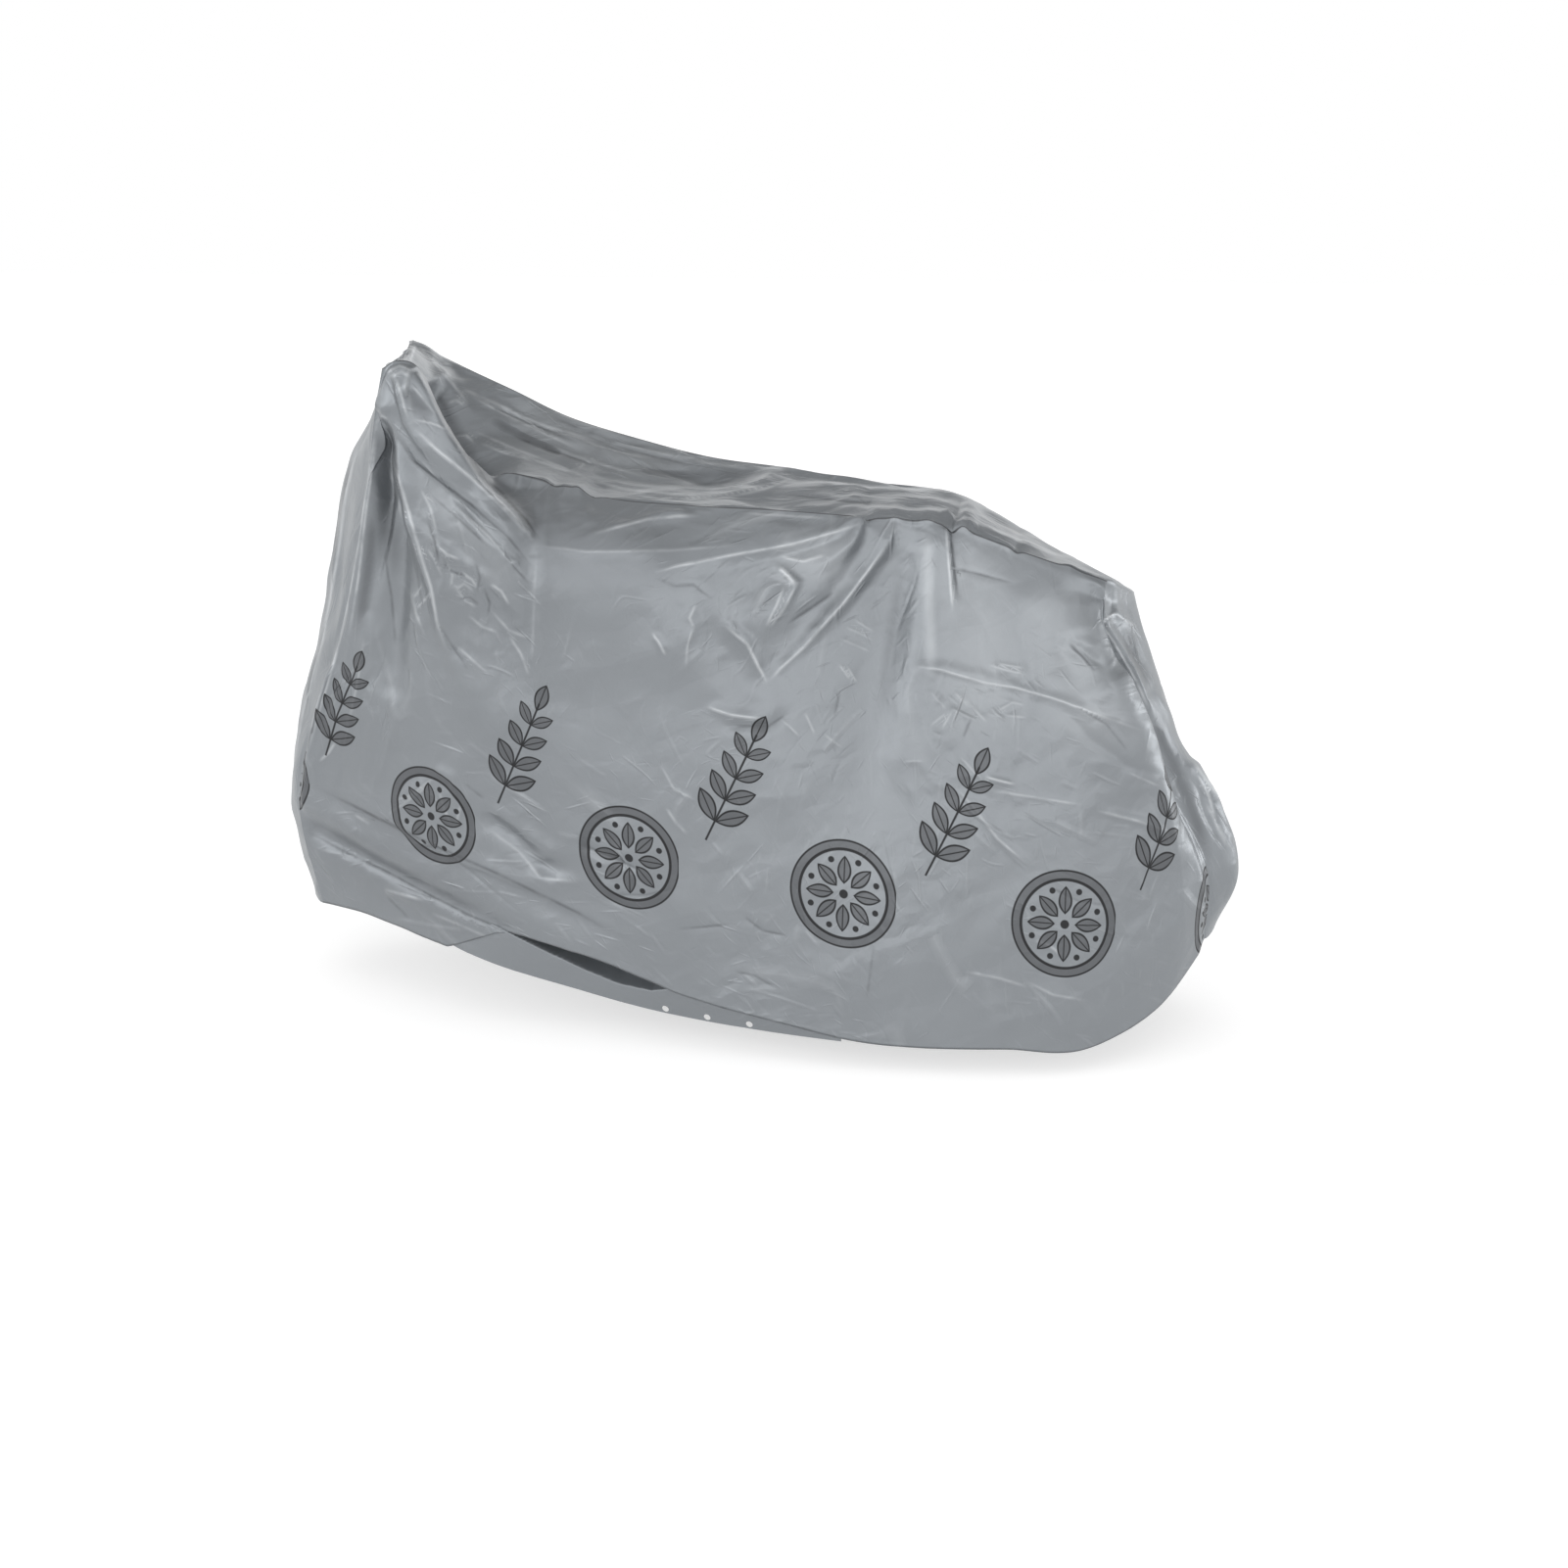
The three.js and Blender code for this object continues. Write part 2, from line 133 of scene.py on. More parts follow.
def through(knots, values, t):
    # cubic through values at their knots, each inner slope taken across its neighbours
    knots, values, t = np.asarray(knots, float), np.asarray(values, float), np.asarray(t, float)
    wide = (...,) + (None,) * (values.ndim - 1)
    slopes = np.empty_like(values)
    slopes[1:-1] = (values[2:] - values[:-2]) / (knots[2:] - knots[:-2])[wide]
    slopes[0] = (values[1] - values[0]) / (knots[1] - knots[0])
    slopes[-1] = (values[-1] - values[-2]) / (knots[-1] - knots[-2])
    i = np.clip(np.searchsorted(knots, t) - 1, 0, len(knots) - 2)
    span = (knots[i + 1] - knots[i])[wide]
    s = (t - knots[i])[wide] / span
    return (values[i] * (2 * s**3 - 3 * s**2 + 1) + slopes[i] * span * (s**3 - 2 * s**2 + s)
            + values[i + 1] * (3 * s**2 - 2 * s**3) + slopes[i + 1] * span * (s**3 - s**2))


def sectionColumn(index, u):
    rows = np.array([row[index] for row in drape["rows"]], float)
    return through(np.linspace(0, 1, len(rows)), rows, u)


def sideSurface(side, u, t):
    # each cross-section runs seam, ridge, two wall points, hem on one cubic down t,
    # and its five points run on cubics along u; side is -1 near and 1 far
    hem = sectionColumn(2, u)
    bow = sectionColumn(3, u)
    if side < 0:
        seam, ridge = sectionColumn(0, u), sectionColumn(1, u)
    else:
        far, fade = drape["farRidge"], (1 - u) ** drape["frontFade"]
        seam = sectionColumn(5, u)
        hem[:, 1] = sectionColumn(6, u)
        hem[:, 0] += drape["farHemBack"] * fade
        drop = far["drop"] + (far["frontDrop"] - far["drop"]) * fade
        ridge = seam + (hem - seam) * (drop / (seam[:, 2] - hem[:, 2]))[:, None]
        ridge[:, 1] += far["out"] * np.sin(np.pi * u)
        bow = np.where(u > 0.5, bow, bow * drape["farBow"])
    swell = sectionColumn(4, u) * side
    levels = drape["levels"]
    points = [seam, ridge]
    for level, bowShare, swellShare in zip(levels[2:4], drape["bowShare"], drape["swellShare"]):
        wall = ridge + (hem - ridge) * (level - levels[1]) / (1 - levels[1])
        wall[:, 0] += bow * bowShare
        wall[:, 1] += swell * swellShare
        points.append(wall)
    return through(levels, np.stack(points + [hem]), t)


def toCover(points):
    # millimetres of the drape to metres in the part's frame, fitted to the cover's size
    low, high, size = (np.array(drape[key], float) for key in ("low", "high", "size"))
    move = np.array([(low[0] + high[0]) / 2, (low[1] + high[1]) / 2, low[2]])
    return (points - move) * size / (high - low) / 1000


def normalsOf(grid):
    # cross product of the steps along columns and along rows
    normal = np.cross(np.gradient(grid, axis=1), np.gradient(grid, axis=0))
    return normal / np.maximum(np.linalg.norm(normal, axis=2, keepdims=True), 1e-9)


def reach(line, x, y):
    # distance from (x, y) to a line of points, its side (1 or -1),
    # how far along the nearest place is, and its way
    best = np.full(x.shape, np.inf)
    side, along, way = np.ones(x.shape), np.zeros(x.shape), np.zeros(x.shape)
    count = len(line) - 1
    for i in range(count):
        (ax, ay), (bx, by) = line[i], line[i + 1]
        dx, dy = bx - ax, by - ay
        share = np.clip(((x - ax) * dx + (y - ay) * dy) / (dx * dx + dy * dy), 0, 1)
        away = np.hypot(x - ax - share * dx, y - ay - share * dy)
        nearer = away < best
        best = np.where(nearer, away, best)
        side = np.where(nearer, np.sign(dx * (y - ay) - dy * (x - ax)), side)
        along = np.where(nearer, (i + share) / count, along)
        way = np.where(nearer, math.atan2(dy, dx), way)
    return best, side, along, way


def bell(away, half):
    # 1 on a line, falling as exp of minus (distance / half width) squared
    return np.exp(-((away / half) ** 2))


def eased(share):
    # 0 to 1 with level ends, 3 s squared - 2 s cubed
    share = np.clip(share, 0, 1)
    return share * share * (3 - 2 * share)


def foldRelief(folds, x, z):
    # main folds of the drape: a bell across each line, lower at its far end
    relief = np.zeros(x.shape)
    for line, half, rise in folds:
        away, _, along, _ = reach(line, x, z)
        relief += rise * bell(away, half) * (1 - 0.6 * along**2)
    return relief


creaseForm = {
    "rootFade": 0.15, "endFade": 0.3, "pleatFade": 0.6, "endShare": 0.15, "height": 1.25, "reach": 4,
    "tent": 1.9, "pleatWide": (0.6, 0.9), "pleatSlopes": (3, 1.1), "lapStep": 0.2,
}


def creaseRelief(creases, x, y):
    # creases: a bell, a crest with two flat sides (a tent), a pleat that widens from its root with a long slope
    # on its left and a short steep one on its right (its half is negative the other way round), or a lap whose
    # left side stands up and right side lies down, each fading towards both ends
    relief = np.zeros(x.shape)
    for kind, half, rise, line in creases:
        away, side, along, _ = reach(line, x, y)
        fade = creaseForm["pleatFade" if kind == "pleat" else "endFade"]
        ends = np.clip(along / creaseForm["rootFade"], 0, 1) * np.clip((1 - along) / fade, 0, 1)
        if kind == "bell":
            form = bell(away, half)
        elif kind == "crest":
            form = np.clip(1 - away / (creaseForm["tent"] * half), 0, 1)
        elif kind == "pleat":
            root, more = creaseForm["pleatWide"]
            wide = abs(half) * (root + more * along)
            form = np.clip(1 - away / (wide * np.where(side * half > 0, *creaseForm["pleatSlopes"])), 0, 1)
        else:
            form = np.tanh(-side * away / (creaseForm["lapStep"] * half)) * bell(away, half)
        window = np.clip(1 - (away / (creaseForm["reach"] * half)) ** 2, 0, 1) ** 2
        least = creaseForm["endShare"]
        relief += creaseForm["height"] * rise * form * window * (least + (1 - least) * ends)
    return relief


def scatter(seed, count, turn, spread, long, half, rise, within=None):
    # a draw of short creases: how many, which way, how much that varies, the ranges of their sizes, and where
    return {"seed": seed, "count": count, "turn": turn, "spread": spread,
            "long": long, "half": half, "rise": rise, "within": within}


def crinkleRelief(plan, x, y):
    # short straight creases from a seeded draw, each a sharp crest that fades to its ends
    draw = np.random.default_rng(plan["seed"])
    relief = np.zeros(x.shape)
    lowX, highX, lowY, highY = plan["within"] or (x.min(), x.max(), y.min(), y.max())
    for _ in range(plan["count"]):
        cx, cy = draw.uniform(lowX, highX), draw.uniform(lowY, highY)
        turn = math.radians(draw.normal(plan["turn"], plan["spread"]))
        long = draw.uniform(*plan["long"])
        half = draw.uniform(*plan["half"])
        rise = draw.uniform(*plan["rise"]) * draw.choice((1, 1, -1))
        lean = draw.uniform(-0.3, 0.3) / long
        along = (x - cx) * math.cos(turn) + (y - cy) * math.sin(turn)
        close = np.abs(along) < 1.6 * long
        a = along[close]
        across = (y[close] - cy) * math.cos(turn) - (x[close] - cx) * math.sin(turn) + lean * a * a
        relief[close] += rise * np.exp(-np.sqrt((across / half) ** 2 + 0.03) - (a / long) ** 2 * 3)
    return relief


pull = {"base": 0.12, "reach": 14, "perHalf": 2, "fullRise": 3, "beside": 0.8, "soft": 0.2}


def pullShares(creases, bursts, x, y):
    # how much the film's fine crinkles run each of four ways: most beside creases and in bursts that run that way
    shares = np.full((4,) + x.shape, pull["base"])
    for kind, half, rise, line in creases:
        away, _, _, way = reach(line, x, y)
        close = bell(away, pull["reach"] + pull["perHalf"] * abs(half)) * min(1, abs(rise) / pull["fullRise"])
        for k in range(4):
            shares[k] += close * np.maximum(0, np.cos(2 * (way + k * math.pi / 4))) * pull["beside"]
    for burst in bursts:
        lowX, highX, lowY, highY = burst["within"]
        soft = pull["soft"] * min(highX - lowX, highY - lowY)
        inside = np.ones(x.shape)
        for gap in (x - lowX, highX - x, y - lowY, highY - y):
            inside = inside * (0.5 + 0.5 * np.tanh(gap / soft))
        for k in range(4):
            shares[k] += inside * max(0, math.cos(2 * (math.radians(burst["turn"]) + k * math.pi / 4)))
    return np.clip(shares, 0, 1)


# how the crease lines are drawn, for their painted light and painted shade
marks = {"wideFrom": 4.6, "fade": 0.2, "thinBelow": 3, "thinShare": 0.75, "reach": 5.5, "soft": 2.5, "none": 9.0}


def paintedFoldLight(lines, x, y):
    # painted light and painted shade beside the wide lines, 1.25 - distance / half width, by their rise; for the thin
    # ones the distance to the nearest over its half width, with its side, and its rise, which fades to both ends; a
    # rise above 0 paints light, below 0 shade
    paintedLightAndShade, gap, mark = np.zeros(x.shape), np.full(x.shape, marks["none"]), np.zeros(x.shape)
    best = np.full(x.shape, np.inf)
    for half, rise, line in lines:
        away, side, along, _ = reach(line, x, y)
        ends = np.clip(np.minimum(along, 1 - along) / marks["fade"], 0, 1)
        strong = ends * max(-1, min(1, rise / 2)) * (marks["thinShare"] if half < marks["thinBelow"] else 1)
        if half > marks["wideFrom"]:
            wide = np.clip(1.25 - away / half, 0, 1) * strong
            paintedLightAndShade = np.where(np.abs(wide) > np.abs(paintedLightAndShade), wide, paintedLightAndShade)
        else:
            nearer = away < best
            best = np.where(nearer, away, best)
            gap = np.where(nearer, side * away / half, gap)
            mark = np.where(nearer, strong * np.clip((marks["reach"] - away) / marks["soft"], 0, 1), mark)
    return np.stack([paintedLightAndShade, gap, mark])


def waveRelief(plan, x, y):
    # slack in the film: a sum of plane waves from a seeded draw, longer ones higher
    draw = np.random.default_rng(plan["seed"])
    relief = np.zeros(x.shape)
    for _ in range(plan["count"]):
        long = draw.uniform(*plan["long"])
        turn = math.radians(draw.normal(plan["turn"], plan["spread"]))
        phase = (x * math.cos(turn) + y * math.sin(turn)) / long + draw.uniform(0, 1)
        across = y * math.cos(turn) - x * math.sin(turn)
        bend = 0.35 * np.sin(2 * np.pi * across / (2.7 * long) + draw.uniform(0, 6))
        relief += plan["rise"] * long / plan["long"][1] * np.sin(2 * np.pi * (phase + bend))
    return relief


def filmRelief(plan, first, second, seen):
    # slack and crinkles by two lengths on the film, then creases by their place on the picture,
    # the fine ones half as high
    relief = waveRelief(plan["waves"], first, second)
    for crinkles in plan["crinkles"]:
        relief += crinkleRelief(crinkles, first, second)
    if "creases" in plan:
        relief += creaseRelief(plan["creases"], *seen)
        relief += 0.5 * creaseRelief([("crest",) + line for line in plan["lines"]], *seen)
        for burst in plan["bursts"]:
            relief += crinkleRelief(burst, *seen)
    return relief


def lengthAlong(grid, axis):
    # running length of a grid's lines along one axis
    step = np.linalg.norm(np.diff(grid, axis=axis), axis=2)
    pad = [(0, 0), (0, 0)]
    pad[axis] = (1, 0)
    return np.pad(np.cumsum(step, axis=axis), pad)


def turnedHem(grid, normals, rows, depth):
    # the last rows again, turned in behind the edge by a hem's depth
    back = grid[-2:-2 - 3 * rows:-3] - normals[-2:-2 - 3 * rows:-3] * depth
    return np.concatenate([grid, back])


# the four shares of the film's pull, then broad painted light and painted shade, and the fine creases' painted lines:
# side and distance, and rise
shareNames = ("pull0", "pull1", "pull2", "pull3", "paintedLightAndShade", "gap", "mark")


def gridCells(index):
    return np.stack([index[:-1, :-1], index[:-1, 1:], index[1:, 1:], index[1:, :-1]], axis=-1)


def sheetMesh(name, grid, flip, film, flat, seam, shares):
    # a grid of points as one smooth sheet of quads
    rows, columns = grid.shape[:2]
    quads = gridCells(np.arange(rows * columns).reshape(rows, columns)).reshape(-1, 4)
    if flip:
        quads = quads[:, ::-1]
    return quadMesh(name, grid.reshape(-1, 3), quads, film.reshape(-1, 2), flat.reshape(-1, 2),
                    seam.reshape(-1), shares.reshape(len(shareNames), -1))


def quadMesh(name, points, quads, film, flat, seam, shares):
    # smooth quads with two maps in metres, film (along and up the film) and flat (as seen flat on),
    # the distance from the seam, the four shares of the film's pull, and the painted light and painted shade of its
    # broad areas and fine creases
    mesh = bpy.data.meshes.new(name)
    mesh.vertices.add(len(points))
    mesh.vertices.foreach_set("co", np.ascontiguousarray(points, np.float32).ravel())
    mesh.loops.add(quads.size)
    mesh.loops.foreach_set("vertex_index", np.ascontiguousarray(quads, np.int32).ravel())
    mesh.polygons.add(len(quads))
    mesh.polygons.foreach_set("loop_start", np.arange(0, quads.size, 4, dtype=np.int32))
    mesh.polygons.foreach_set("use_smooth", np.ones(len(quads), bool))
    mesh.update(calc_edges=True)
    for label, values in (("film", film), ("flat", flat)):
        layer = mesh.uv_layers.new(name=label)
        layer.data.foreach_set("uv", np.ascontiguousarray(values[quads.ravel()], np.float32).ravel())
    for label, values in [("seam", seam)] + list(zip(shareNames, shares)):
        layer = mesh.attributes.new(label, "FLOAT", "POINT")
        layer.data.foreach_set("value", np.ascontiguousarray(values, np.float32))
    mesh.validate()
    piece = bpy.data.objects.new(name, mesh)
    scene.collection.objects.link(piece)
    area = sum(p.area for p in mesh.polygons)
    print(name, "built,", len(mesh.polygons), "quads,", round(area, 3), "m2")
    return piece


# near side: the drape's main folds by x and z, then its creases by their place on the picture
nearSide = {
    "folds": [
        ([(-389, 835), (-352, 694), (-311, 488), (-280, 400)], 26, 16),    # under the cap
        ([(-398, 820), (-400, 690), (-425, 560), (-440, 470)], 24, -22),   # wedge behind the front seam
        ([(-560, 470), (-625, 320)], 22, 12),
        ([(-290, 730), (-270, 600), (-235, 480)], 34, -12),
        ([(189, 690), (110, 600), (20, 560)], 26, 7),                      # root pleat
        ([(20, 560), (70, 490), (140, 560), (190, 640)], 26, -9),          # notch
        ([(240, 640), (215, 480), (190, 300), (185, 150)], 38, -5),        # long valley
        ([(278, 660), (278, 520), (262, 400)], 22, 5),                     # below the top's hump
        ([(478, 600), (470, 540), (500, 470)], 24, -12),
        ([(520, 480), (560, 380), (610, 260)], 26, 12),
        ([(-300, 570), (-180, 545), (-40, 550)], 70, -7),                 # slack below the front seam
        ([(-640, 275), (-480, 205), (-330, 150), (-190, 120)], 24, 6),
        ([(-670, 222), (-515, 181), (-376, 146), (-270, 122)], 22, -8),
    ],
    "creases": [
        # cap and front
        ("bell", 6, -3, [(374, 420), (388, 426), (398, 424), (408, 434)]),
        ("pleat", -8, 9, [(404, 382), (410, 405), (417, 430), (432, 452), (447, 470), (472, 492)]),
        ("bell", 10, -13, [(391, 436), (389, 470), (393, 508), (386, 560), (376, 620)]),
        ("pleat", -7, 7, [(399, 430), (410, 480), (420, 530), (430, 565), (443, 606), (449, 644), (463, 680),
                          (474, 700)]),
        ("pleat", 7, -6, [(405, 445), (421, 475), (466, 512), (512, 548), (547, 581)]),
        ("pleat", 6, 5, [(412, 520), (450, 556), (500, 590), (540, 640)]),
        ("pleat", 6, 5, [(455, 505), (505, 560), (545, 600)]),
        ("lap", 20, 2.4, [(556, 490), (550, 556), (546, 620), (546, 690)]),
        ("pleat", -7, 4, [(352, 690), (338, 735), (328, 778)]),
        ("crest", 4, 2, [(372, 640), (366, 700), (352, 760)]),
        # lower front
        ("lap", 16, 3, [(323, 802), (374, 830), (423, 856), (469, 881), (502, 894), (545, 912), (596, 937),
                        (629, 953)]),
        ("lap", 17, -3, [(305, 838), (341, 863), (387, 889), (430, 909), (469, 930), (507, 948), (560, 969)]),
        ("bell", 10, -7, [(491, 833), (520, 853), (550, 884), (583, 889)]),
        ("crest", 6, 2, [(536, 892), (565, 901), (594, 900)]),
        ("crest", 6, 3, [(498, 822), (530, 846), (562, 868)]),
        ("bell", 6, -2.4, [(591, 863), (622, 876), (655, 889)]),
        ("crest", 5, 2, [(392, 907), (412, 912), (433, 922)]),
        ("crest", 5, 2, [(443, 784), (463, 795), (466, 840)]),
        ("crest", 5, 2, [(402, 818), (443, 792)]),
        # under the seam, ahead of the hump
        ("pleat", 6, 4, [(710, 525), (677, 529), (638, 536), (613, 544)]),
        ("crest", 5, 1, [(600, 563), (684, 562), (733, 556), (779, 554)]),
        ("pleat", 8, 7, [(881, 525), (855, 544), (825, 552), (779, 562), (743, 570), (684, 582)]),
        ("pleat", 7, 5, [(883, 525), (870, 556), (846, 574), (809, 580)]),
        ("pleat", 8, 7, [(885, 522), (876, 549), (855, 582), (826, 610)]),
        ("pleat", 9, 8, [(916, 534), (901, 565), (865, 611), (827, 649), (800, 676)]),
        ("pleat", 6, 5, [(796, 578), (814, 595), (800, 620), (782, 642)]),
        ("pleat", 9, 5, [(738, 630), (763, 656), (776, 684), (790, 718)]),
        ("pleat", -9, 5, [(866, 604), (822, 655), (796, 683), (772, 710)]),
        ("crest", 5, 1.6, [(723, 722), (752, 731), (780, 735)]),
        ("bell", 7, -2.4, [(738, 741), (784, 741), (809, 725)]),
        ("crest", 4, 1.5, [(705, 618), (710, 639), (699, 659)]),
        ("crest", 4, 1.5, [(669, 649), (679, 664)]),
        # pleats under the hump
        ("bell", 55, -10, [(912, 540), (900, 640), (892, 730), (886, 830), (880, 940)]),
        ("bell", 20, -5, [(919, 560), (910, 640), (897, 690), (888, 766), (882, 843), (876, 930)]),
        ("pleat", -13, 4, [(957, 526), (957, 590), (954, 640), (946, 720)]),
        ("pleat", 7, 5, [(965, 530), (970, 572), (973, 613), (966, 650)]),
        # rear
        ("crest", 5, 1.6, [(931, 681), (964, 681), (1023, 696), (1074, 712), (1110, 730), (1173, 745)]),
        ("pleat", 46, 20, [(1112, 570), (1132, 640), (1155, 720), (1178, 800), (1198, 880), (1205, 960), (1190, 1020)]),
        ("crest", 8, 4, [(1098, 606), (1092, 650), (1108, 690)]),
        ("crest", 4, 1.6, [(977, 806), (1008, 837), (1028, 865), (1053, 883)]),
        ("bell", 5, -1.6, [(1084, 724), (1110, 755), (1140, 780), (1191, 804)]),
        ("crest", 4, 1.6, [(1008, 796), (1036, 801)]),
        ("crest", 4, 1.6, [(1122, 827), (1161, 839), (1194, 857)]),
        ("bell", 4, -2, [(1094, 658), (1117, 684)]),
        ("bell", 12, -6, [(1190, 762), (1206, 824), (1222, 850)]),
        ("crest", 5, 1.6, [(890, 975), (885, 1018)]),
    ],
    # fine creases, all crests: half width, rise and line on the picture; a rise above 0 paints a highlight along the
    # crease and one below 0 paints shade, and each also raises a little relief; the widest are broad painted light and
    # painted shade, chosen by comparing tones with the picture
    "lines": [
        (8, -1.8, [(443, 396), (456, 422), (470, 450), (488, 477), (508, 496)]),
        (3.6, 2, [(389, 405), (382, 448), (373, 504), (364, 562), (354, 619), (341, 674), (325, 727), (311, 778)]),
        (3, -1.5, [(384, 412), (377, 450), (368, 505), (359, 562), (349, 619), (336, 674), (319, 727)]),
        (9, -1.0, [(480, 474), (506, 492), (531, 515), (549, 545)]),
        (3, -1.6, [(488, 484), (512, 503), (536, 530), (552, 552)]),
        (3, 1.8, [(404, 384), (410, 405), (417, 430)]), (9, -1.0, [(413, 394), (425, 412), (442, 432)]),    # cap
        (4, 2, [(392, 381), (408, 373), (424, 380)]), (4, 2, [(398, 386), (410, 379), (420, 384)]),
        (3, 1.4, [(420, 392), (432, 408), (446, 424)]),
        (3, 1.4, [(422, 428), (440, 432), (456, 438)]), (3, 1.6, [(385, 428), (390, 425), (396, 428)]),
        # broad painted light and painted shade
        (26, -0.5, [(545, 585), (620, 580), (710, 578)]), (20, 0.5, [(425, 470), (480, 545), (530, 610)]),
        (30, 0.8, [(785, 565), (830, 568), (875, 574)]), (45, 0.7, [(985, 540), (1000, 640), (1010, 760)]),
        (45, 0.7, [(1050, 590), (1095, 680), (1130, 780)]), (40, -0.3, [(310, 835), (420, 900), (500, 940)]),
        (15, -1.2, [(390, 430), (390, 470), (394, 525), (402, 590)]), (7, -1.2, [(382, 520), (376, 580), (366, 650)]),
        (3, 1.8, [(385, 440), (380, 480), (374, 520), (366, 590), (356, 650)]),
        (3, -1.2, [(392, 560), (400, 610), (404, 660)]),
        (2.8, 1.4, [(436, 560), (444, 572), (452, 590)]), (2.8, 1.2, [(455, 572), (462, 588), (460, 602)]),
        (2.8, 1.4, [(464, 604), (474, 596), (484, 604)]), (2.8, -1.4, [(468, 612), (480, 610), (490, 618)]),
        (2.8, 1.2, [(430, 470), (445, 488), (462, 500)]), (2.8, -1.2, [(440, 505), (470, 532), (500, 560)]),
        (2.8, 1.2, [(470, 520), (500, 548), (530, 584)]), (2.8, -1.0, [(420, 560), (426, 590), (432, 620)]),
        (2.8, 1.2, [(372, 650), (366, 690), (356, 740)]), (3, -1.4, [(338, 680), (326, 722), (313, 765)]),
        (3, -1.4, [(328, 690), (316, 735), (303, 785)]), (3, 1.4, [(334, 686), (320, 730), (308, 776)]),
        (2.8, 1.2, [(346, 560), (340, 610), (330, 660)]), (2.8, 1.0, [(360, 470), (352, 530), (346, 590)]),
        (3, 1.6, [(446, 556), (456, 566), (470, 572)]), (3, -1.6, [(452, 574), (462, 584), (476, 588)]),
        (3, 1.6, [(470, 584), (482, 592), (490, 604)]), (3, 1.4, [(500, 596), (512, 604), (520, 618)]),
        (3, -1.4, [(494, 600), (500, 616), (498, 630)]), (3, 1.4, [(478, 628), (492, 640), (508, 646)]),
        (3, -1.2, [(512, 560), (526, 580), (540, 596)]), (3, 1.4, [(430, 500), (440, 520), (446, 545)]),
        (3, -1.4, [(436, 530), (444, 552), (448, 575)]), (3, 1.2, [(418, 600), (424, 625), (434, 650)]),
        (3, 1.4, [(396, 470), (404, 500), (410, 530)]), (3, 1.2, [(466, 660), (480, 672), (500, 690)]),
        (3, -1.2, [(450, 640), (462, 660), (478, 684)]), (3, 1.2, [(520, 650), (532, 668), (540, 690)]),
        (4, 2.4, [(420, 435), (450, 463), (480, 487), (510, 513), (550, 557)]),    # front
        (3, -1.4, [(405, 445), (421, 470), (450, 492), (480, 515), (520, 550), (547, 582)]),
        (3.5, 2, [(397, 440), (402, 475), (412, 505), (422, 540), (432, 575), (440, 600), (446, 635), (456, 665)]),
        (3, 0.5, [(548, 560), (545, 620), (543, 680)]),
        (3, 0.9, [(550, 557), (600, 563), (684, 562), (760, 556)]),
        (3, 1.4, [(441, 603), (434, 612), (425, 622)]), (3, 1.2, [(431, 596), (426, 606), (420, 612)]),
        (3, 1.2, [(462, 596), (474, 612), (486, 620)]), (3, 1.0, [(500, 622), (520, 644), (540, 652)]),
        (3, -1, [(486, 575), (490, 590), (487, 606)]),
        (3.5, 2.2, [(606, 545), (630, 538), (660, 530), (690, 527), (716, 526)]),    # under the seam
        (3, 1.2, [(755, 523), (800, 526), (845, 529)]),
        (3.5, 1.8, [(882, 533), (850, 544), (810, 556), (775, 562), (740, 568), (690, 578), (668, 585)]),
        (3, 1.6, [(843, 566), (820, 573), (796, 568)]), (3, -1, [(670, 591), (690, 598), (708, 597), (730, 614)]),
        (4.5, 2.6, [(795, 578), (803, 586), (812, 598)]),
        (3, 1.6, [(801, 598), (792, 620), (782, 641)]), (3, 1.6, [(812, 599), (802, 620), (786, 641)]),
        (3.5, 2.4, [(740, 639), (763, 658), (774, 680), (784, 698)]),
        (3.5, 1.8, [(783, 697), (800, 680), (822, 660), (860, 618), (885, 585), (908, 553)]),
        (3.5, -1.6, [(853, 604), (830, 620), (803, 638)]), (3, 1.5, [(666, 646), (673, 657), (680, 670)]),
        (3, 1.2, [(711, 616), (704, 632), (709, 642)]), (3, 0.9, [(708, 640), (702, 660), (700, 682)]),
        (3.5, 1.6, [(722, 722), (745, 730), (782, 735)]), (3, -1.4, [(740, 741), (784, 742), (806, 728)]),
        (2.6, 1, [(864, 640), (892, 654)]), (2.6, 1, [(858, 652), (888, 665)]), (2.6, 1, [(872, 632), (893, 646)]),
        (2.6, 1.2, [(857, 678), (868, 694)]), (2.6, 1.2, [(865, 680), (875, 697)]),
        (2.6, 1.1, [(798, 734), (816, 752)]), (2.6, 1.1, [(822, 728), (832, 750)]),
        (2.6, 1.1, [(842, 750), (860, 764)]),
        (3, -1, [(858, 706), (852, 732)]),
        # middle, low
        (2.6, 1, [(674, 780), (688, 806), (712, 818)]), (3, 1.2, [(680, 825), (690, 840), (702, 852)]),
        (3, -1.4, [(590, 861), (622, 874), (657, 890)]), (3, -1, [(620, 913), (660, 914), (694, 906)]),
        (3, -1.2, [(690, 949), (725, 946), (745, 944)]), (3, -1.3, [(760, 936), (778, 950), (805, 956)]),
        (3, -1, [(750, 992), (770, 996), (798, 1012)]), (3, 1, [(822, 950), (836, 966)]),
        (3, -0.7, [(893, 962), (889, 990), (885, 1020)]),
        (7, 1.3, [(946, 538), (948, 600), (952, 700)]), (9, -0.7, [(922, 580), (912, 650), (900, 745)]),
        # rear
        (3, 2, [(966, 538), (969, 575), (973, 625)]), (3, -1.8, [(971, 545), (974, 575), (978, 610)]),
        (3, -1.2, [(974, 580), (1000, 586), (1034, 595)]),
        (3, 1.3, [(933, 680), (960, 684), (1004, 697), (1040, 703), (1085, 716), (1115, 728), (1172, 748)]),
        (2.6, 1.2, [(1010, 679), (1048, 689)]), (2.6, 1, [(1018, 677), (1046, 682)]),
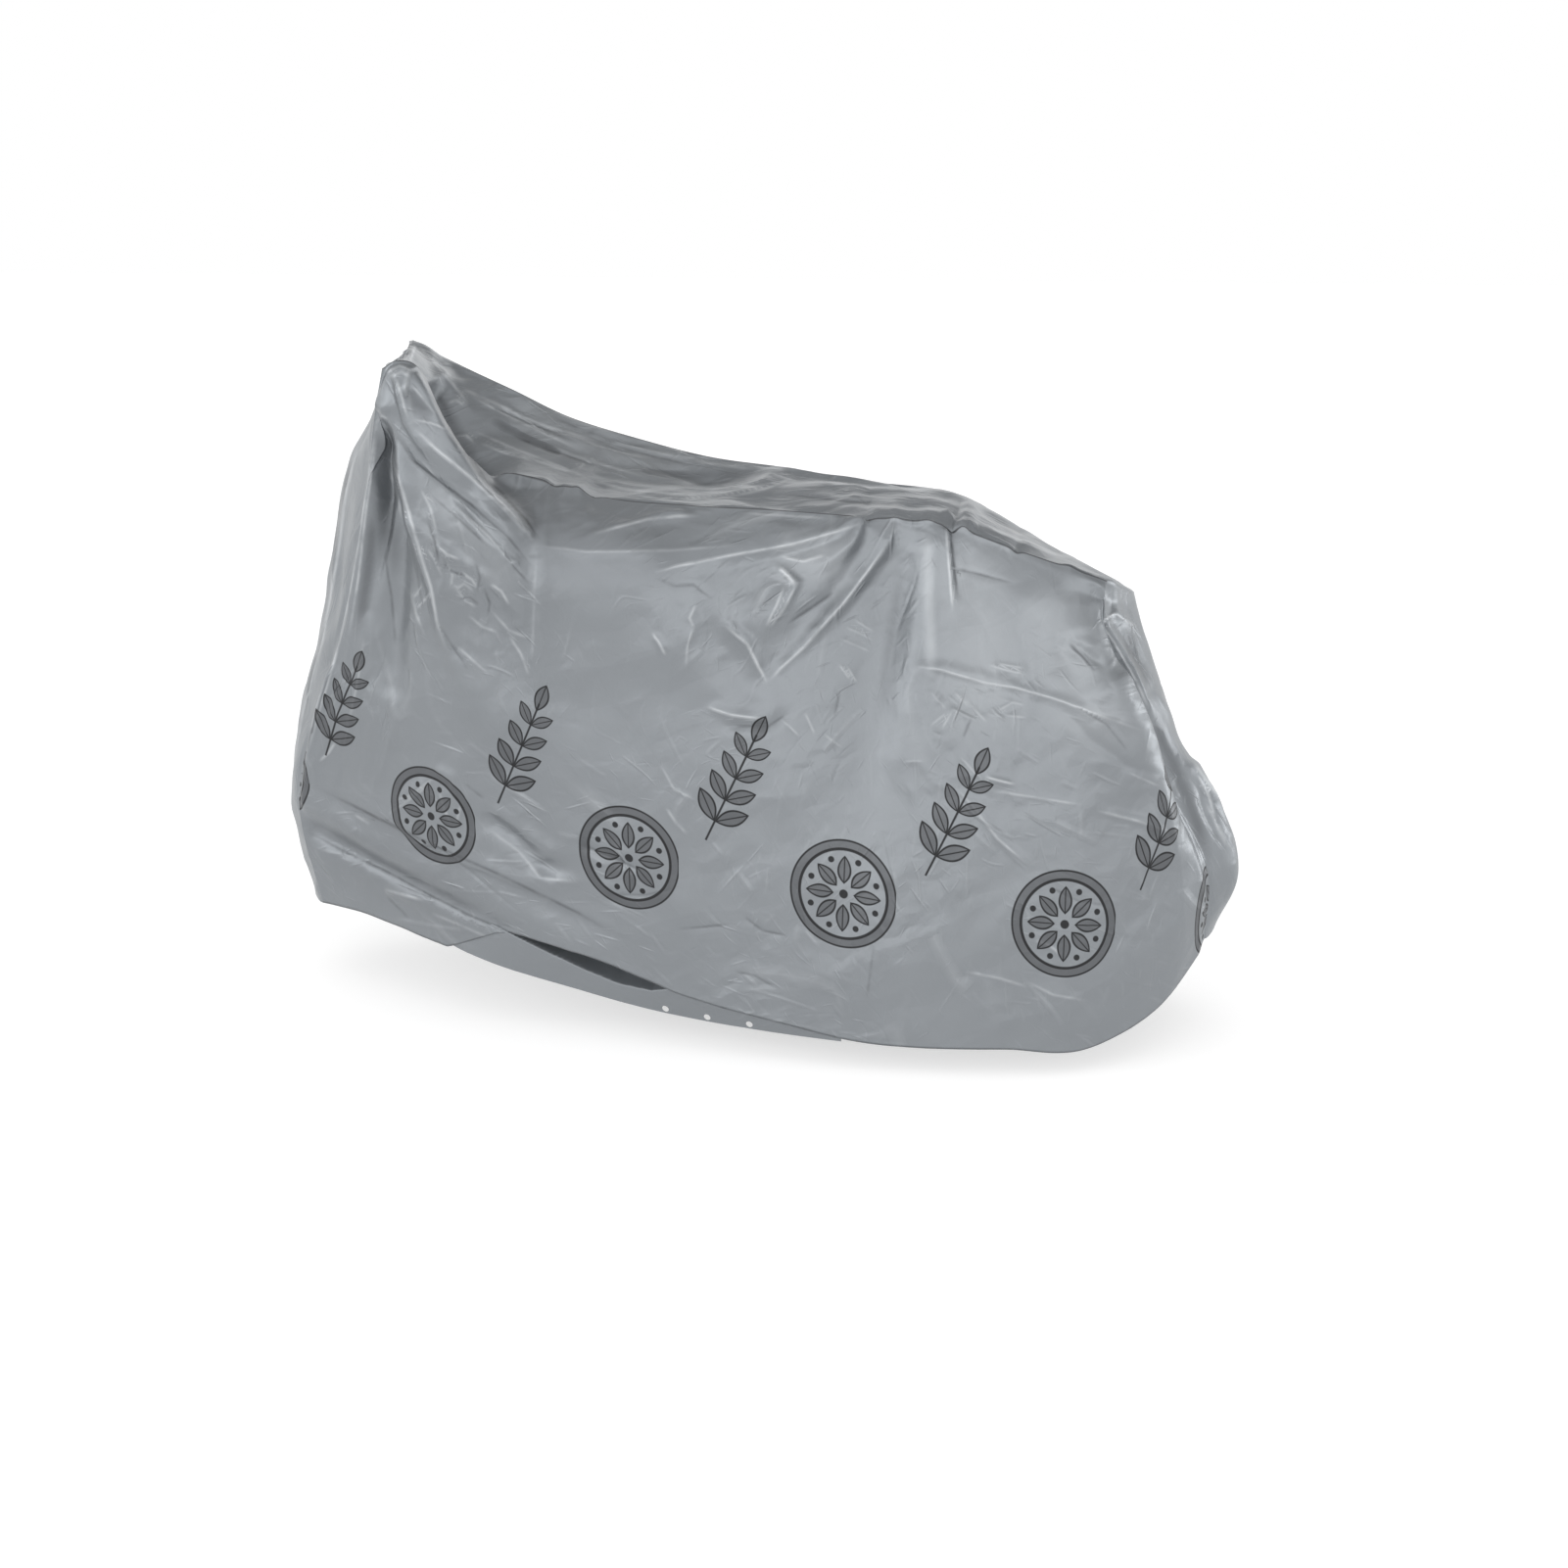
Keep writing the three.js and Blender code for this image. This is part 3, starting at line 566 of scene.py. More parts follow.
        (3.5, -2, [(1091, 657), (1104, 669), (1119, 686)]), (3, 2, [(1006, 793), (1020, 797), (1037, 801)]),
        (2.6, 1, [(980, 773), (1004, 797)]), (2.6, 0.9, [(984, 711), (1008, 738)]),
        (2.6, 0.8, [(974, 706), (990, 722)]),
        (2.6, 0.8, [(950, 706), (966, 724)]), (3, -1.1, [(992, 733), (983, 754)]),
        (2.6, 0.8, [(966, 728), (950, 741)]),
        (2.6, 1.1, [(972, 727), (962, 744)]), (2.6, 1.2, [(923, 778), (942, 777)]),
        (2.6, 1.1, [(1018, 726), (1034, 717), (1046, 720)]), (2.6, 1.1, [(1026, 730), (1048, 733)]),
        (3, -1, [(1100, 722), (1130, 740), (1152, 768)]), (2.6, 1, [(1152, 789), (1184, 803)]),
        (3, 1.2, [(978, 806), (1000, 832), (1018, 856), (1050, 884)]),
        (3, 1, [(1010, 807), (1060, 815), (1105, 822)]),
        (3, 1.3, [(1120, 828), (1160, 838), (1196, 850)]), (3, 1.6, [(1056, 960), (1072, 966), (1084, 976)]),
        (3, 0.9, [(985, 992), (1020, 999), (1050, 1008)]), (3, 0.8, [(1050, 1003), (1075, 1016), (1110, 1022)]),
        (3, -1, [(1070, 905), (1100, 920), (1130, 925)]),
        (3, -1.4, [(325, 805), (365, 825), (440, 862), (510, 893), (545, 910), (590, 932), (622, 951)]),    # lower front
        (3, -1.6, [(310, 848), (350, 868), (400, 893), (440, 915), (480, 935), (520, 952), (562, 969)]),
        (3.5, 1.0, [(498, 846), (530, 870), (552, 896), (590, 901)]), (3, 1.4, [(326, 778), (336, 768), (343, 757)]),
        (3, 1.2, [(448, 806), (454, 828), (461, 842)]), (3, 1.2, [(466, 842), (470, 822)]),
        (3, 1, [(402, 818), (420, 812), (446, 792)]), (3, 1.1, [(396, 832), (420, 815), (440, 800)]),
        (3, -1, [(474, 800), (495, 816)]), (3, 1.3, [(392, 908), (412, 914), (434, 920)]),
        (3, -1, [(395, 915), (418, 938)]),
        (3, 1, [(440, 932), (470, 945), (500, 958)]), (3, 1, [(362, 832), (378, 842)]),
    ],
    # the hem rises where it hangs over the strip
    "lift": ((-412, -396, -312, -290, -250, -195, -130, -80, -40), (-2, -4, 24, 26, 19, 10, 8, 4, 0)),
    "puckers": [(464, 24, -26), (500, 14, -12), (540, 34, -7), (566, 7, -5), (590, 6, 4), (606, 7, -4), (884, 8, -5),
                (914, 7, 3), (948, 9, 4), (972, 6, -8), (984, 6, 6), (1038, 5, -4), (1092, 8, 3)],
    "puckerDepth": 0.05,
    # front and rear edge: levels down it, how far it falls back there, and over what width
    "chamfers": [((0.1, 0.25, 0.5, 0.75, 0.9), (0, 7, 7, 5, 0), 11),
                 ((0, 0.04, 0.16, 0.3, 0.6, 0.8), (0, 11, 10, 7, 5, 0), 22)],
    "overlapShade": (558, 46, 0.65),    # a wider weld line, painted shade of the band's overlap there: its place on the picture, half width and share
    "crinkles": [
        scatter(3, 200, 20, 70, (18, 60), (4, 7), (0.2, 0.7)),
        scatter(5, 110, 50, 25, (25, 80), (4, 8), (0.2, 0.7)),
    ],
    "bursts": [
        scatter(7, 60, 50, 50, (8, 26), (2.5, 4.5), (0.5, 1.6), (925, 1060, 680, 830)),
        scatter(8, 60, 40, 40, (8, 28), (2.5, 4.5), (0.5, 1.7), (440, 548, 530, 680)),
        scatter(9, 40, -45, 35, (8, 28), (2.5, 4.5), (0.4, 1.4), (690, 880, 560, 700)),
        scatter(10, 40, 35, 45, (8, 26), (2.5, 4.5), (0.4, 1.3), (390, 540, 760, 900)),
        scatter(11, 30, 60, 40, (8, 24), (2.5, 4.5), (0.5, 1.6), (1110, 1200, 600, 760)),
        scatter(13, 44, -8, 14, (14, 46), (2.5, 4.5), (0.4, 1.5), (560, 800, 512, 566)),
        scatter(14, 40, 44, 22, (10, 34), (2.5, 4), (0.7, 2.2), (400, 520, 440, 560)),
        scatter(15, 36, 102, 14, (12, 50), (2.5, 4.5), (0.7, 2.2), (305, 400, 540, 800)),
        scatter(20, 44, 60, 60, (7, 20), (2.2, 3.6), (0.6, 1.8), (410, 550, 540, 680)),
        scatter(16, 44, 27, 12, (12, 46), (2.5, 5), (0.4, 1.5), (320, 640, 800, 990)),
        scatter(17, 26, 90, 10, (12, 40), (2.5, 4.5), (0.4, 1.4), (935, 1010, 530, 690)),
        scatter(18, 30, 40, 50, (10, 34), (2.5, 5), (0.4, 1.3), (1020, 1230, 740, 1050)),
        scatter(19, 26, 16, 30, (10, 34), (2.5, 5), (0.4, 1.2), (640, 900, 960, 1055)),
    ],
    "shares": (0, 0, 0, 0, 0, 9, 0),
    "waves": {"seed": 12, "count": 9, "turn": 30, "spread": 60, "long": (60, 190), "rise": 0.3},
}


def held(rows, columns):
    # 0 at the seams of a side, rising to 1 a few rows in
    down = np.arange(rows)[:, None] / steps["holdDown"]
    along = np.minimum(np.arange(columns), np.arange(columns)[::-1])[None, :] / steps["holdAlong"]
    return eased(np.minimum(down, along))


def pucker(plan, grid):
    # puckers of the seam: bells along it, by their place on the picture, that die out below it
    px = onPicture(toCover(grid[0]))[0]
    rise = sum(lift * bell(px - place, half) for place, half, lift in plan["puckers"])
    down = np.linspace(0, 1, len(grid))[:, None]
    return rise * np.exp(-down / plan["puckerDepth"])


def chamfer(plan, grid, t):
    # the panel falls back towards its front and rear edges by a bell of the distance, deeper at some levels
    run = lengthAlong(grid, 1)
    depth = np.zeros(run.shape)
    for away, (levels, depths, half) in zip((run, run[:, -1:] - run), plan["chamfers"]):
        depth += np.interp(t, levels, depths)[:, None] * bell(away, half)
    return depth


def buildSide(name, side, plan, flip):
    # the side's smooth surface, moved out along its normals by main folds, then by slack, crinkles and creases
    u, t = np.linspace(0, 1, steps["along"]), levelsDown
    smooth = sideSurface(side, u, t)
    if "puckers" in plan:
        smooth[..., 2] += pucker(plan, smooth)
        smooth -= normalsOf(smooth) * (side * chamfer(plan, smooth, t))[..., None]
    out = normalsOf(smooth) * side
    hold = held(len(t), len(u))
    x, z = smooth[..., 0], smooth[..., 2]
    if "lift" in plan:
        low = np.clip((t - 0.8) / 0.2, 0, 1)[:, None]
        smooth[..., 2] += np.interp(x, *plan["lift"]) * low * low
    surface = smooth + out * (foldRelief(plan["folds"], x, z) * hold)[..., None]
    across, down = lengthAlong(smooth, 1), lengthAlong(smooth, 0)
    seen = onPicture(toCover(surface))
    relief = filmRelief(plan, across, down[-1] - down, seen)
    surface = surface + out * (relief * hold)[..., None]
    shares = np.array(plan["shares"])[:, None, None] * np.ones(x.shape)
    if "creases" in plan:
        shares[:4] = pullShares(plan["creases"], plan["bursts"], *seen)
        # broad painted light and painted shade, and the fine creases' painted lines, by their place on the picture
        shares[4:] = paintedFoldLight(plan["lines"], *onPicture(toCover(surface)))
        # the dark weld line reaches further here, painted shade of the band's overlap
        place, half, share = plan["overlapShade"]
        down = down * (1 - share * bell(seen[0] - place, half))
    start = np.take_along_axis(across - x, np.abs(x).argmin(axis=1)[:, None], axis=1)
    rise = z + filmMap["rise"] * (x - filmMap["from"]) - filmMap["drop"]
    film = np.stack([across - start, rise], axis=-1) / 1000
    flat = np.stack([x, z], axis=-1) / 1000
    grid = turnedHem(surface, normalsOf(surface) * side, steps["hemRows"], steps["hemDepth"])
    again = slice(-2, -2 - 3 * steps["hemRows"], -3)
    film, flat, seam = (np.concatenate([part, part[again]]) for part in (film, flat, down / 1000))
    shares = np.concatenate([shares, shares[:, again]], axis=1)
    return sheetMesh(name, toCover(grid), flip, film, flat, seam, shares), smooth, surface


nearPiece, nearSmooth, nearSurface = buildSide("nearFilm", -1, nearSide, True)

# far side: fewer folds, by x and z alone
farSide = {
    "folds": [
        ([(-610, 800), (-540, 600), (-470, 420)], 30, 20),
        ([(-640, 720), (-610, 540)], 26, -18),
        ([(-400, 720), (-330, 560), (-300, 400)], 42, -24),
        ([(170, 660), (150, 480), (120, 260)], 30, 16),
        ([(250, 640), (235, 430), (225, 200)], 34, -22),
        ([(440, 560), (510, 400), (560, 240)], 30, 14),
        ([(-600, 230), (-380, 160), (-120, 120)], 26, -14),
        ([(-560, 760), (-440, 640), (-330, 560)], 14, 8),
        ([(60, 690), (40, 560), (-10, 440)], 16, 8),
        ([(320, 650), (330, 520), (360, 400)], 16, 8),
        ([(-250, 700), (-180, 600), (-60, 560)], 18, -8),
        ([(-420, 300), (-200, 240), (40, 220)], 16, 6),
    ],
    "crinkles": [
        scatter(23, 280, 20, 70, (18, 60), (3, 6), (0.3, 1.1)),
        scatter(25, 120, -55, 25, (25, 80), (3, 7), (0.3, 1.0)),
    ],
    "shares": (0.35, 0.35, 0.35, 0.35, 0, 9, 0),
    "waves": {"seed": 26, "count": 9, "turn": 30, "spread": 60, "long": (60, 190), "rise": 0.9},
}
farPiece, farSmooth, _ = buildSide("farFilm", 1, farSide, False)

# the band between the two seams, up the front, along the top and down the rear
topBand = {
    "creases": [
        ("crest", 8, 6, [(804, 480), (779, 494), (738, 506), (683, 506), (638, 505), (600, 491)]),
        ("crest", 6, 3, [(600, 500), (540, 478), (500, 452), (470, 424)]),
        ("crest", 6, 5, [(422, 351), (462, 389), (474, 407), (485, 420)]),
        ("bell", 19, -38, [(440, 388), (458, 424), (480, 462), (500, 492)]),
        ("crest", 4, 2.4, [(448, 396), (462, 430), (470, 455)]),
        ("crest", 5, 2.4, [(560, 440), (640, 470), (720, 486)]),
        ("crest", 5, 2.4, [(520, 425), (600, 458), (690, 478)]),
        ("bell", 6, -5, [(655, 474), (720, 488), (790, 486)]),
        ("bell", 5, -5, [(753, 513), (820, 519), (881, 526)]),
        ("crest", 4, 2.4, [(810, 493), (870, 499), (930, 502)]),
        ("crest", 4, 2.4, [(860, 508), (900, 511), (960, 508)]),
        ("crest", 5, 5, [(962, 522), (974, 530), (984, 545)]),
        ("bell", 4, -4, [(968, 520), (980, 533), (990, 546)]),
        ("crest", 6, 8, [(1124, 598), (1122, 634), (1137, 656), (1152, 682), (1165, 706), (1174, 724)]),
        ("crest", 4, 3, [(1122, 638), (1138, 626), (1160, 640)]),
        ("crest", 8, 6, [(1216, 772), (1236, 798), (1250, 828)]),
        ("bell", 6, -5, [(1225, 803), (1238, 838), (1252, 866)]),
    ],
    # fine creases and broad shades as on the near side: painted highlights and painted shade along creases, painted
    # shade in the pocket beside the cap, and broad painted light
    "lines": [
        (3, 2, [(425, 351), (446, 374), (462, 392), (480, 414)]), (3, 1.6, [(470, 396), (520, 418), (560, 444)]),
        (3, 2, [(424, 352), (421, 362), (418, 372)]),
        (9, -1.4, [(442, 396), (456, 425), (468, 448), (488, 480), (504, 494)]),
        (5, -1.6, [(446, 400), (456, 420), (464, 440)]), (3, 1.4, [(456, 412), (466, 408), (474, 414)]),
        (30, 0.9, [(500, 412), (600, 452), (720, 482)]), (2.8, 1.6, [(500, 412), (540, 428), (585, 446)]),
        (2.8, -1.6, [(505, 417), (548, 435), (592, 453)]),
        (2.8, 1.6, [(560, 418), (600, 434), (650, 446)]), (2.8, -1.6, [(600, 446), (650, 462), (705, 474)]),
        (2.8, 1.6, [(630, 452), (690, 466), (740, 470)]), (2.8, 1.4, [(700, 470), (760, 478), (820, 480)]),
        (2.8, -1.4, [(640, 492), (700, 496), (770, 490)]), (2.8, 1.4, [(820, 492), (870, 496), (920, 498)]),
        (2.8, -1.4, [(800, 505), (860, 512), (930, 518)]), (2.8, 1.6, [(880, 500), (930, 500), (965, 505)]),
        (2.8, 1.6, [(1000, 535), (1040, 552), (1090, 572)]), (2.8, -1.4, [(1010, 530), (1060, 552), (1105, 570)]),
        (3, 1.8, [(512, 458), (545, 470), (590, 484)]), (3, -1.6, [(520, 444), (560, 460), (610, 476)]),
        (3, 1.4, [(462, 446), (476, 444), (484, 452)]), (5, -1.2, [(500, 428), (540, 448), (580, 466)]),
        (6, -1.0, [(640, 478), (700, 486), (780, 484)]), (4, -1.0, [(560, 425), (620, 448), (680, 462)]),
        (3, 1.6, [(366, 450), (354, 500), (346, 560), (332, 640), (318, 706)]),
        (3, -1.4, [(360, 462), (347, 520), (338, 590)]),
        (3, 1.4, [(326, 660), (312, 720), (300, 780)]), (3, -1.4, [(332, 640), (318, 690), (305, 760)]),
        (3, 2, [(1123, 600), (1121, 634), (1137, 656), (1152, 682), (1165, 706), (1173, 723)]),
        (3, 1.8, [(1121, 637), (1138, 626), (1160, 640)]), (6, -1.2, [(1146, 640), (1160, 672), (1178, 706)]),
        (4, 1.8, [(1217, 776), (1235, 800), (1250, 820)]), (4, 1.8, [(1232, 820), (1244, 845), (1255, 868)]),
        (3, 1.6, [(1222, 790), (1234, 812), (1242, 840)]), (3, 1.6, [(1228, 806), (1240, 802), (1248, 816)]),
        (8, -1.2, [(1176, 705), (1186, 750), (1202, 790), (1222, 840), (1234, 886)]),
        (3, 1.6, [(480, 404), (530, 430), (590, 458)]), (3, 1.4, [(520, 420), (560, 436), (610, 450)]),
        (3, 1.8, [(490, 452), (520, 464), (548, 471)]), (3, 1.6, [(484, 440), (520, 456), (560, 472), (600, 488)]),
        (3, 1.8, [(590, 479), (600, 471), (607, 468)]),
        (3, 1.6, [(600, 490), (640, 500), (700, 506), (740, 503), (790, 492)]),
        (3, 1.4, [(640, 505), (690, 512), (735, 508)]), (3, 1.4, [(740, 508), (780, 500), (812, 487)]),
        (3, 1.2, [(830, 505), (880, 510), (930, 513)]), (3, 1.2, [(560, 455), (600, 470), (660, 487)]),
    ],
    "crinkles": [
        scatter(33, 160, 0, 18, (25, 90), (4, 7), (0.2, 0.9)),
        scatter(34, 100, 20, 70, (15, 50), (4, 6), (0.2, 0.6)),
    ],
    "bursts": [
        scatter(41, 70, 24, 10, (14, 50), (2.5, 5), (0.6, 2.2), (470, 720, 400, 500)),
        scatter(42, 70, 6, 8, (14, 60), (2, 4), (0.3, 1.3), (640, 990, 465, 530)),
        scatter(43, 30, 52, 16, (10, 34), (2.5, 5), (0.6, 2), (425, 520, 360, 460)),
        scatter(44, 30, 30, 10, (12, 50), (2, 4), (0.5, 1.6), (985, 1160, 515, 605)),
        scatter(45, 30, 66, 30, (10, 34), (2.5, 5), (0.6, 2), (1160, 1270, 620, 900)),
        scatter(46, 30, 98, 14, (14, 50), (2.5, 5), (0.5, 1.8), (290, 380, 520, 920)),
    ],
    "shares": (0.9, 0.3, 0.1, 0.3, 0, 9, 0),
    "waves": {"seed": 36, "count": 8, "turn": 80, "spread": 25, "long": (60, 160), "rise": 1.0},
}


def buildBand(name, plan):
    # straight lines from near seam to far seam, raised in the middle by the crown, times 4q(1 - q)
    u = np.linspace(0, 1, steps["along"])[::2]
    near, far = (np.concatenate([side[::-2, 0][:-1], side[0, ::2], side[1::2, -1]])
                 for side in (nearSmooth, farSmooth))
    frontLevel, rearLevel = 1 - levelsDown[::-2][:-1], levelsDown[1::2]
    lift = np.concatenate([
        through(crown["front"][0], crown["front"][1], frontLevel),
        through(np.linspace(0, 1, len(crown["top"])), crown["top"], u),
        through(drape["levels"], crown["rear"], rearLevel),
    ])
    run = np.gradient(near + far, axis=0)
    outward = np.cross(run, far - near)
    outward /= np.linalg.norm(outward, axis=1, keepdims=True)
    q = np.linspace(0, 1, steps["across"])
    smooth = near[:, None] + (far - near)[:, None] * q[None, :, None]
    smooth = smooth + outward[:, None] * (lift[:, None] * 4 * q * (1 - q))[..., None]
    out = -normalsOf(smooth)
    hold = eased(np.minimum(np.arange(len(q)), np.arange(len(q))[::-1])[None, :] / steps["holdAcross"])
    along, across = lengthAlong(smooth, 0), lengthAlong(smooth, 1)
    relief = filmRelief(plan, along, across, onPicture(toCover(smooth)))
    surface = smooth + out * (relief * hold)[..., None]
    film = np.stack([along, across], axis=-1) / 1000
    # rows past the top have no weld line at their ends
    ends = np.abs(np.arange(len(near)) - len(frontLevel) - len(u) / 2)[:, None] - len(u) / 2
    seam = np.minimum(across, across[:, -1:] - across) / 1000 + np.clip(ends, 0, 10) * 0.001
    shares = np.array(plan["shares"])[:, None, None] * np.ones(across.shape)
    # broad painted light and painted shade, and the fine creases' painted lines, by their place on the picture
    shares[4:] = paintedFoldLight(plan["lines"], *onPicture(toCover(surface)))
    return sheetMesh(name, toCover(surface), True, film, film, seam, shares)


bandPiece = buildBand("bandFilm", topBand)

# the strip inside the near hem, with its three round holes
strip = {
    "edge": [(-440, -180, 92), (-395, -195, 81), (-362, -204, 72), (-300, -211, 57), (-200, -206, 34),
             (-100, -206, 15), (0, -210, 5), (105, -217, 1), (215, -228, 2)],
    "headRow": 0.945, "headIn": 2.6, "seam": 0.05,
    # under the overhang its upper part falls back, down to a lip: the lip's place, how far back, the form
    "lip": ((-345, -278, -230, -180, -130, -80, -40), (0.1, 0.36, 0.5, 0.62, 0.69, 0.64, 0.45)),
    "back": ((-345, -300, -197, -142, -72, -30), (0, 30, 48, 42, 28, 0)),
    "backForm": ((0, 0.45, 0.85, 1, 9), (0, 0.85, 1, 0, 0)),
    "front": -425, "rear": 195, "cell": 1.5, "rows": 56,
    "holes": (-63, -1, 61), "holeUp": 7.5, "holeSize": 9.5, "room": 1.45, "rings": 4,
    "shares": (0.5, 0.3, 0.3, 0.3, 0, 9, 0),
    "crinkles": scatter(51, 60, 0, 60, (10, 40), (3, 5), (0.2, 0.7)),
}


def stripSurface(x, w):
    # from the near side's inner face, w = 0, straight down and in to the strip's own edge, w = 1,
    # with a pocket that falls back above its lip
    edge = np.array(strip["edge"], float)
    row = nearSurface[int(steps["down"] * strip["headRow"])]
    head = np.stack([np.interp(x, row[:, 0], row[:, k]) for k in range(3)], axis=-1)
    head[..., 1] += strip["headIn"]
    foot = np.stack([x, through(edge[:, 0], edge[:, 1], x), through(edge[:, 0], edge[:, 2], x)], axis=-1)
    points = head + (foot - head) * w[..., None]
    points[..., 1] += np.interp(w / np.interp(x, *strip["lip"]), *strip["backForm"]) * np.interp(x, *strip["back"])
    return points


def stripPoints(plan, x, w):
    # the strip's surface, moved towards the viewer by its crinkles away from its upper edge
    points = stripSurface(x, w)
    points[..., 1] -= crinkleRelief(plan["crinkles"], x, points[..., 2]) * np.minimum(1, 3 * w)
    return points


def buildStrip(name, plan):
    # a grid of small cells in x and w; at each hole a block of cells gives way to rings of quads
    # whose outer ring is the block's rim and whose inner ring is the hole's circle
    edge = np.array(plan["edge"], float)
    xs = np.arange(plan["front"], plan["rear"], plan["cell"])
    ws = np.linspace(0, 1, plan["rows"])
    gx, gw = np.meshgrid(xs, ws)
    index = np.arange(gx.size).reshape(gx.shape)
    cells = gridCells(index)
    kept = np.ones(cells.shape[:2], bool)
    places, quads = [np.stack([gx, gw], axis=-1).reshape(-1, 2)], []
    for x in plan["holes"]:
        up = through(edge[:, 0], edge[:, 2], np.array([x]))[0] + plan["holeUp"]
        top, foot = stripSurface(np.array([x, x]), np.array([0.0, 1.0]))[:, 2]
        w, tall, radius = (top - up) / (top - foot), top - foot, plan["holeSize"] / 2
        half = radius * plan["room"]
        i0, i1 = np.searchsorted(xs, [x - half, x + half])
        j0, j1 = np.searchsorted(ws, [w - half / tall, w + half / tall])
        j1 = min(j1, len(ws) - 2)
        kept[j0:j1, i0:i1] = False
        rim = np.concatenate([index[j0, i0:i1], index[j0:j1, i1], index[j1, i1:i0:-1], index[j1:j0:-1, i0]])
        outer = places[0][rim]
        turn = np.arctan2((outer[:, 1] - w) * tall, outer[:, 0] - x)
        circle = np.stack([x + radius * np.cos(turn), w + radius * np.sin(turn) / tall], axis=-1)
        share = np.linspace(0, 1, plan["rings"] + 1)[1:, None, None]
        start = sum(len(place) for place in places)
        places.append((outer + (circle - outer) * share).reshape(-1, 2))
        ring = np.concatenate([rim[None], start + np.arange(plan["rings"] * len(rim)).reshape(plan["rings"], -1)])
        after = np.roll(ring, -1, axis=1)
        quads.append(np.stack([ring[:-1], after[:-1], after[1:], ring[1:]], axis=-1).reshape(-1, 4))
    quads = np.concatenate([cells[kept]] + quads)[:, ::-1]
    place = np.concatenate(places)
    points = stripPoints(plan, place[:, 0], place[:, 1])
    film = np.stack([place[:, 0], points[:, 2]], axis=-1) / 1000
    shares = np.array(plan["shares"])[:, None] * np.ones(len(place))
    return quadMesh(name, toCover(points), quads, film, film, np.full(len(place), plan["seam"]), shares)


stripPiece = buildStrip("stripFilm", strip)


class Wire:
    # a socket of a material's nodes; arithmetic on it adds Math nodes
    def __init__(self, socket):
        self.socket = socket

    @staticmethod
    def node(tree, kind, settings=None, sockets=None, out=0):
        # any node: its settings first, then its sockets' values or links
        made = tree.nodes.new(kind)
        for key, value in (settings or {}).items():
            setattr(made, key, value)
        for key, value in (sockets or {}).items():
            if isinstance(value, Wire):
                tree.links.new(value.socket, made.inputs[key])
            else:
                made.inputs[key].default_value = value
        return Wire(made.outputs[out]) if made.outputs else made

    def put(self, kind, settings=None, sockets=None, out=0):
        return Wire.node(self.socket.id_data, kind, settings, sockets, out)

    def beside(self, out):
        # another output of the same node
        return Wire(self.socket.node.outputs[out])

    def noise(self, scale, detail, out=0):
        return self.put("ShaderNodeTexNoise", None, {"Vector": self, "Scale": float(scale), "Detail": detail}, out)

    def stored(self, label):
        return self.put("ShaderNodeAttribute", {"attribute_name": label}, None, "Fac")

    def vector(self, operation, *others, out=0):
        return self.put("ShaderNodeVectorMath", {"operation": operation}, dict(enumerate((self,) + others)), out)

    def blend(self, tone, other):
        # a tone that turns to another one as this goes from 0 to 1
        tones = {6: tone if isinstance(tone, Wire) else tone + (1,), 7: other + (1,)}
        return self.put("ShaderNodeMix", {"data_type": "RGBA"}, {0: self} | tones, 2)

    def ramp(self, start, end, low, high):
        sockets = {"Value": self, "From Min": start, "From Max": end, "To Min": low, "To Max": high}
        return self.put("ShaderNodeMapRange", {"interpolation_type": "SMOOTHSTEP"}, sockets)

    def math(self, operation, *others, clamp=False):
        sockets = dict(enumerate((self,) + others))
        return self.put("ShaderNodeMath", {"operation": operation, "use_clamp": clamp}, sockets)

    def __add__(self, other):
        return self.math("ADD", other)

    __radd__ = __add__

    def __mul__(self, other):
        return self.math("MULTIPLY", other)

    __rmul__ = __mul__

    def __sub__(self, other):
        return self.math("SUBTRACT", other)

    def __rsub__(self, other):
        return self.put("ShaderNodeMath", {"operation": "SUBTRACT"}, {0: other, 1: self})

    def __truediv__(self, other):
        return self.math("DIVIDE", other)

    def __abs__(self):
        return self.math("ABSOLUTE")

    def __neg__(self):
        return self.math("MULTIPLY", -1.0)

    def least(self, other):
        return self.math("MINIMUM", other)

    def most(self, other):
        return self.math("MAXIMUM", other)

    def under(self, edge, blur):
        # 1 where this is below the edge, 0 above it, with a soft step
        return ((edge - self) / blur + 0.5).math("ADD", 0.0, clamp=True)


# print: sprigs and rosettes in dark ink, set in two rows that alternate; sizes in metres
inkPrint = {
    "pitch": 0.30, "sprigUp": 0.345, "rosetteUp": 0.205, "line": 0.0018, "blur": 0.0009,
    "leafLong": 0.046, "leafWide": 0.011, "leafStep": 0.034, "leafTurn": 48, "pairs": 4,
    "petals": 8, "petalFrom": 0.013, "petalTo": 0.052, "petalWide": 0.010, "rings": (0.060, 0.072),
    "hub": 0.006, "beadAt": 0.048, "beadSize": 0.0042, "tipDrop": 0.012,
    "lean": 0.42, "sprigAt": 0.27, "rosetteAt": 0.76,
}


def leafMasks(a, b, long, wide, line, blur):
    # a lens, half as wide as 4 s (1 - s): its ink is the rim and the midrib, its fill the inside
    s = (a / long).math("ADD", 0.0, clamp=True)
    room = s * (1 - s) * (4 * wide) - abs(b)
    inside = 1 - room.under(0.5 * blur, blur)
    rim = inside * room.under(1.6 * line, blur)
    rib = inside * abs(b).under(0.45 * line, blur)
    return rim.most(rib), inside


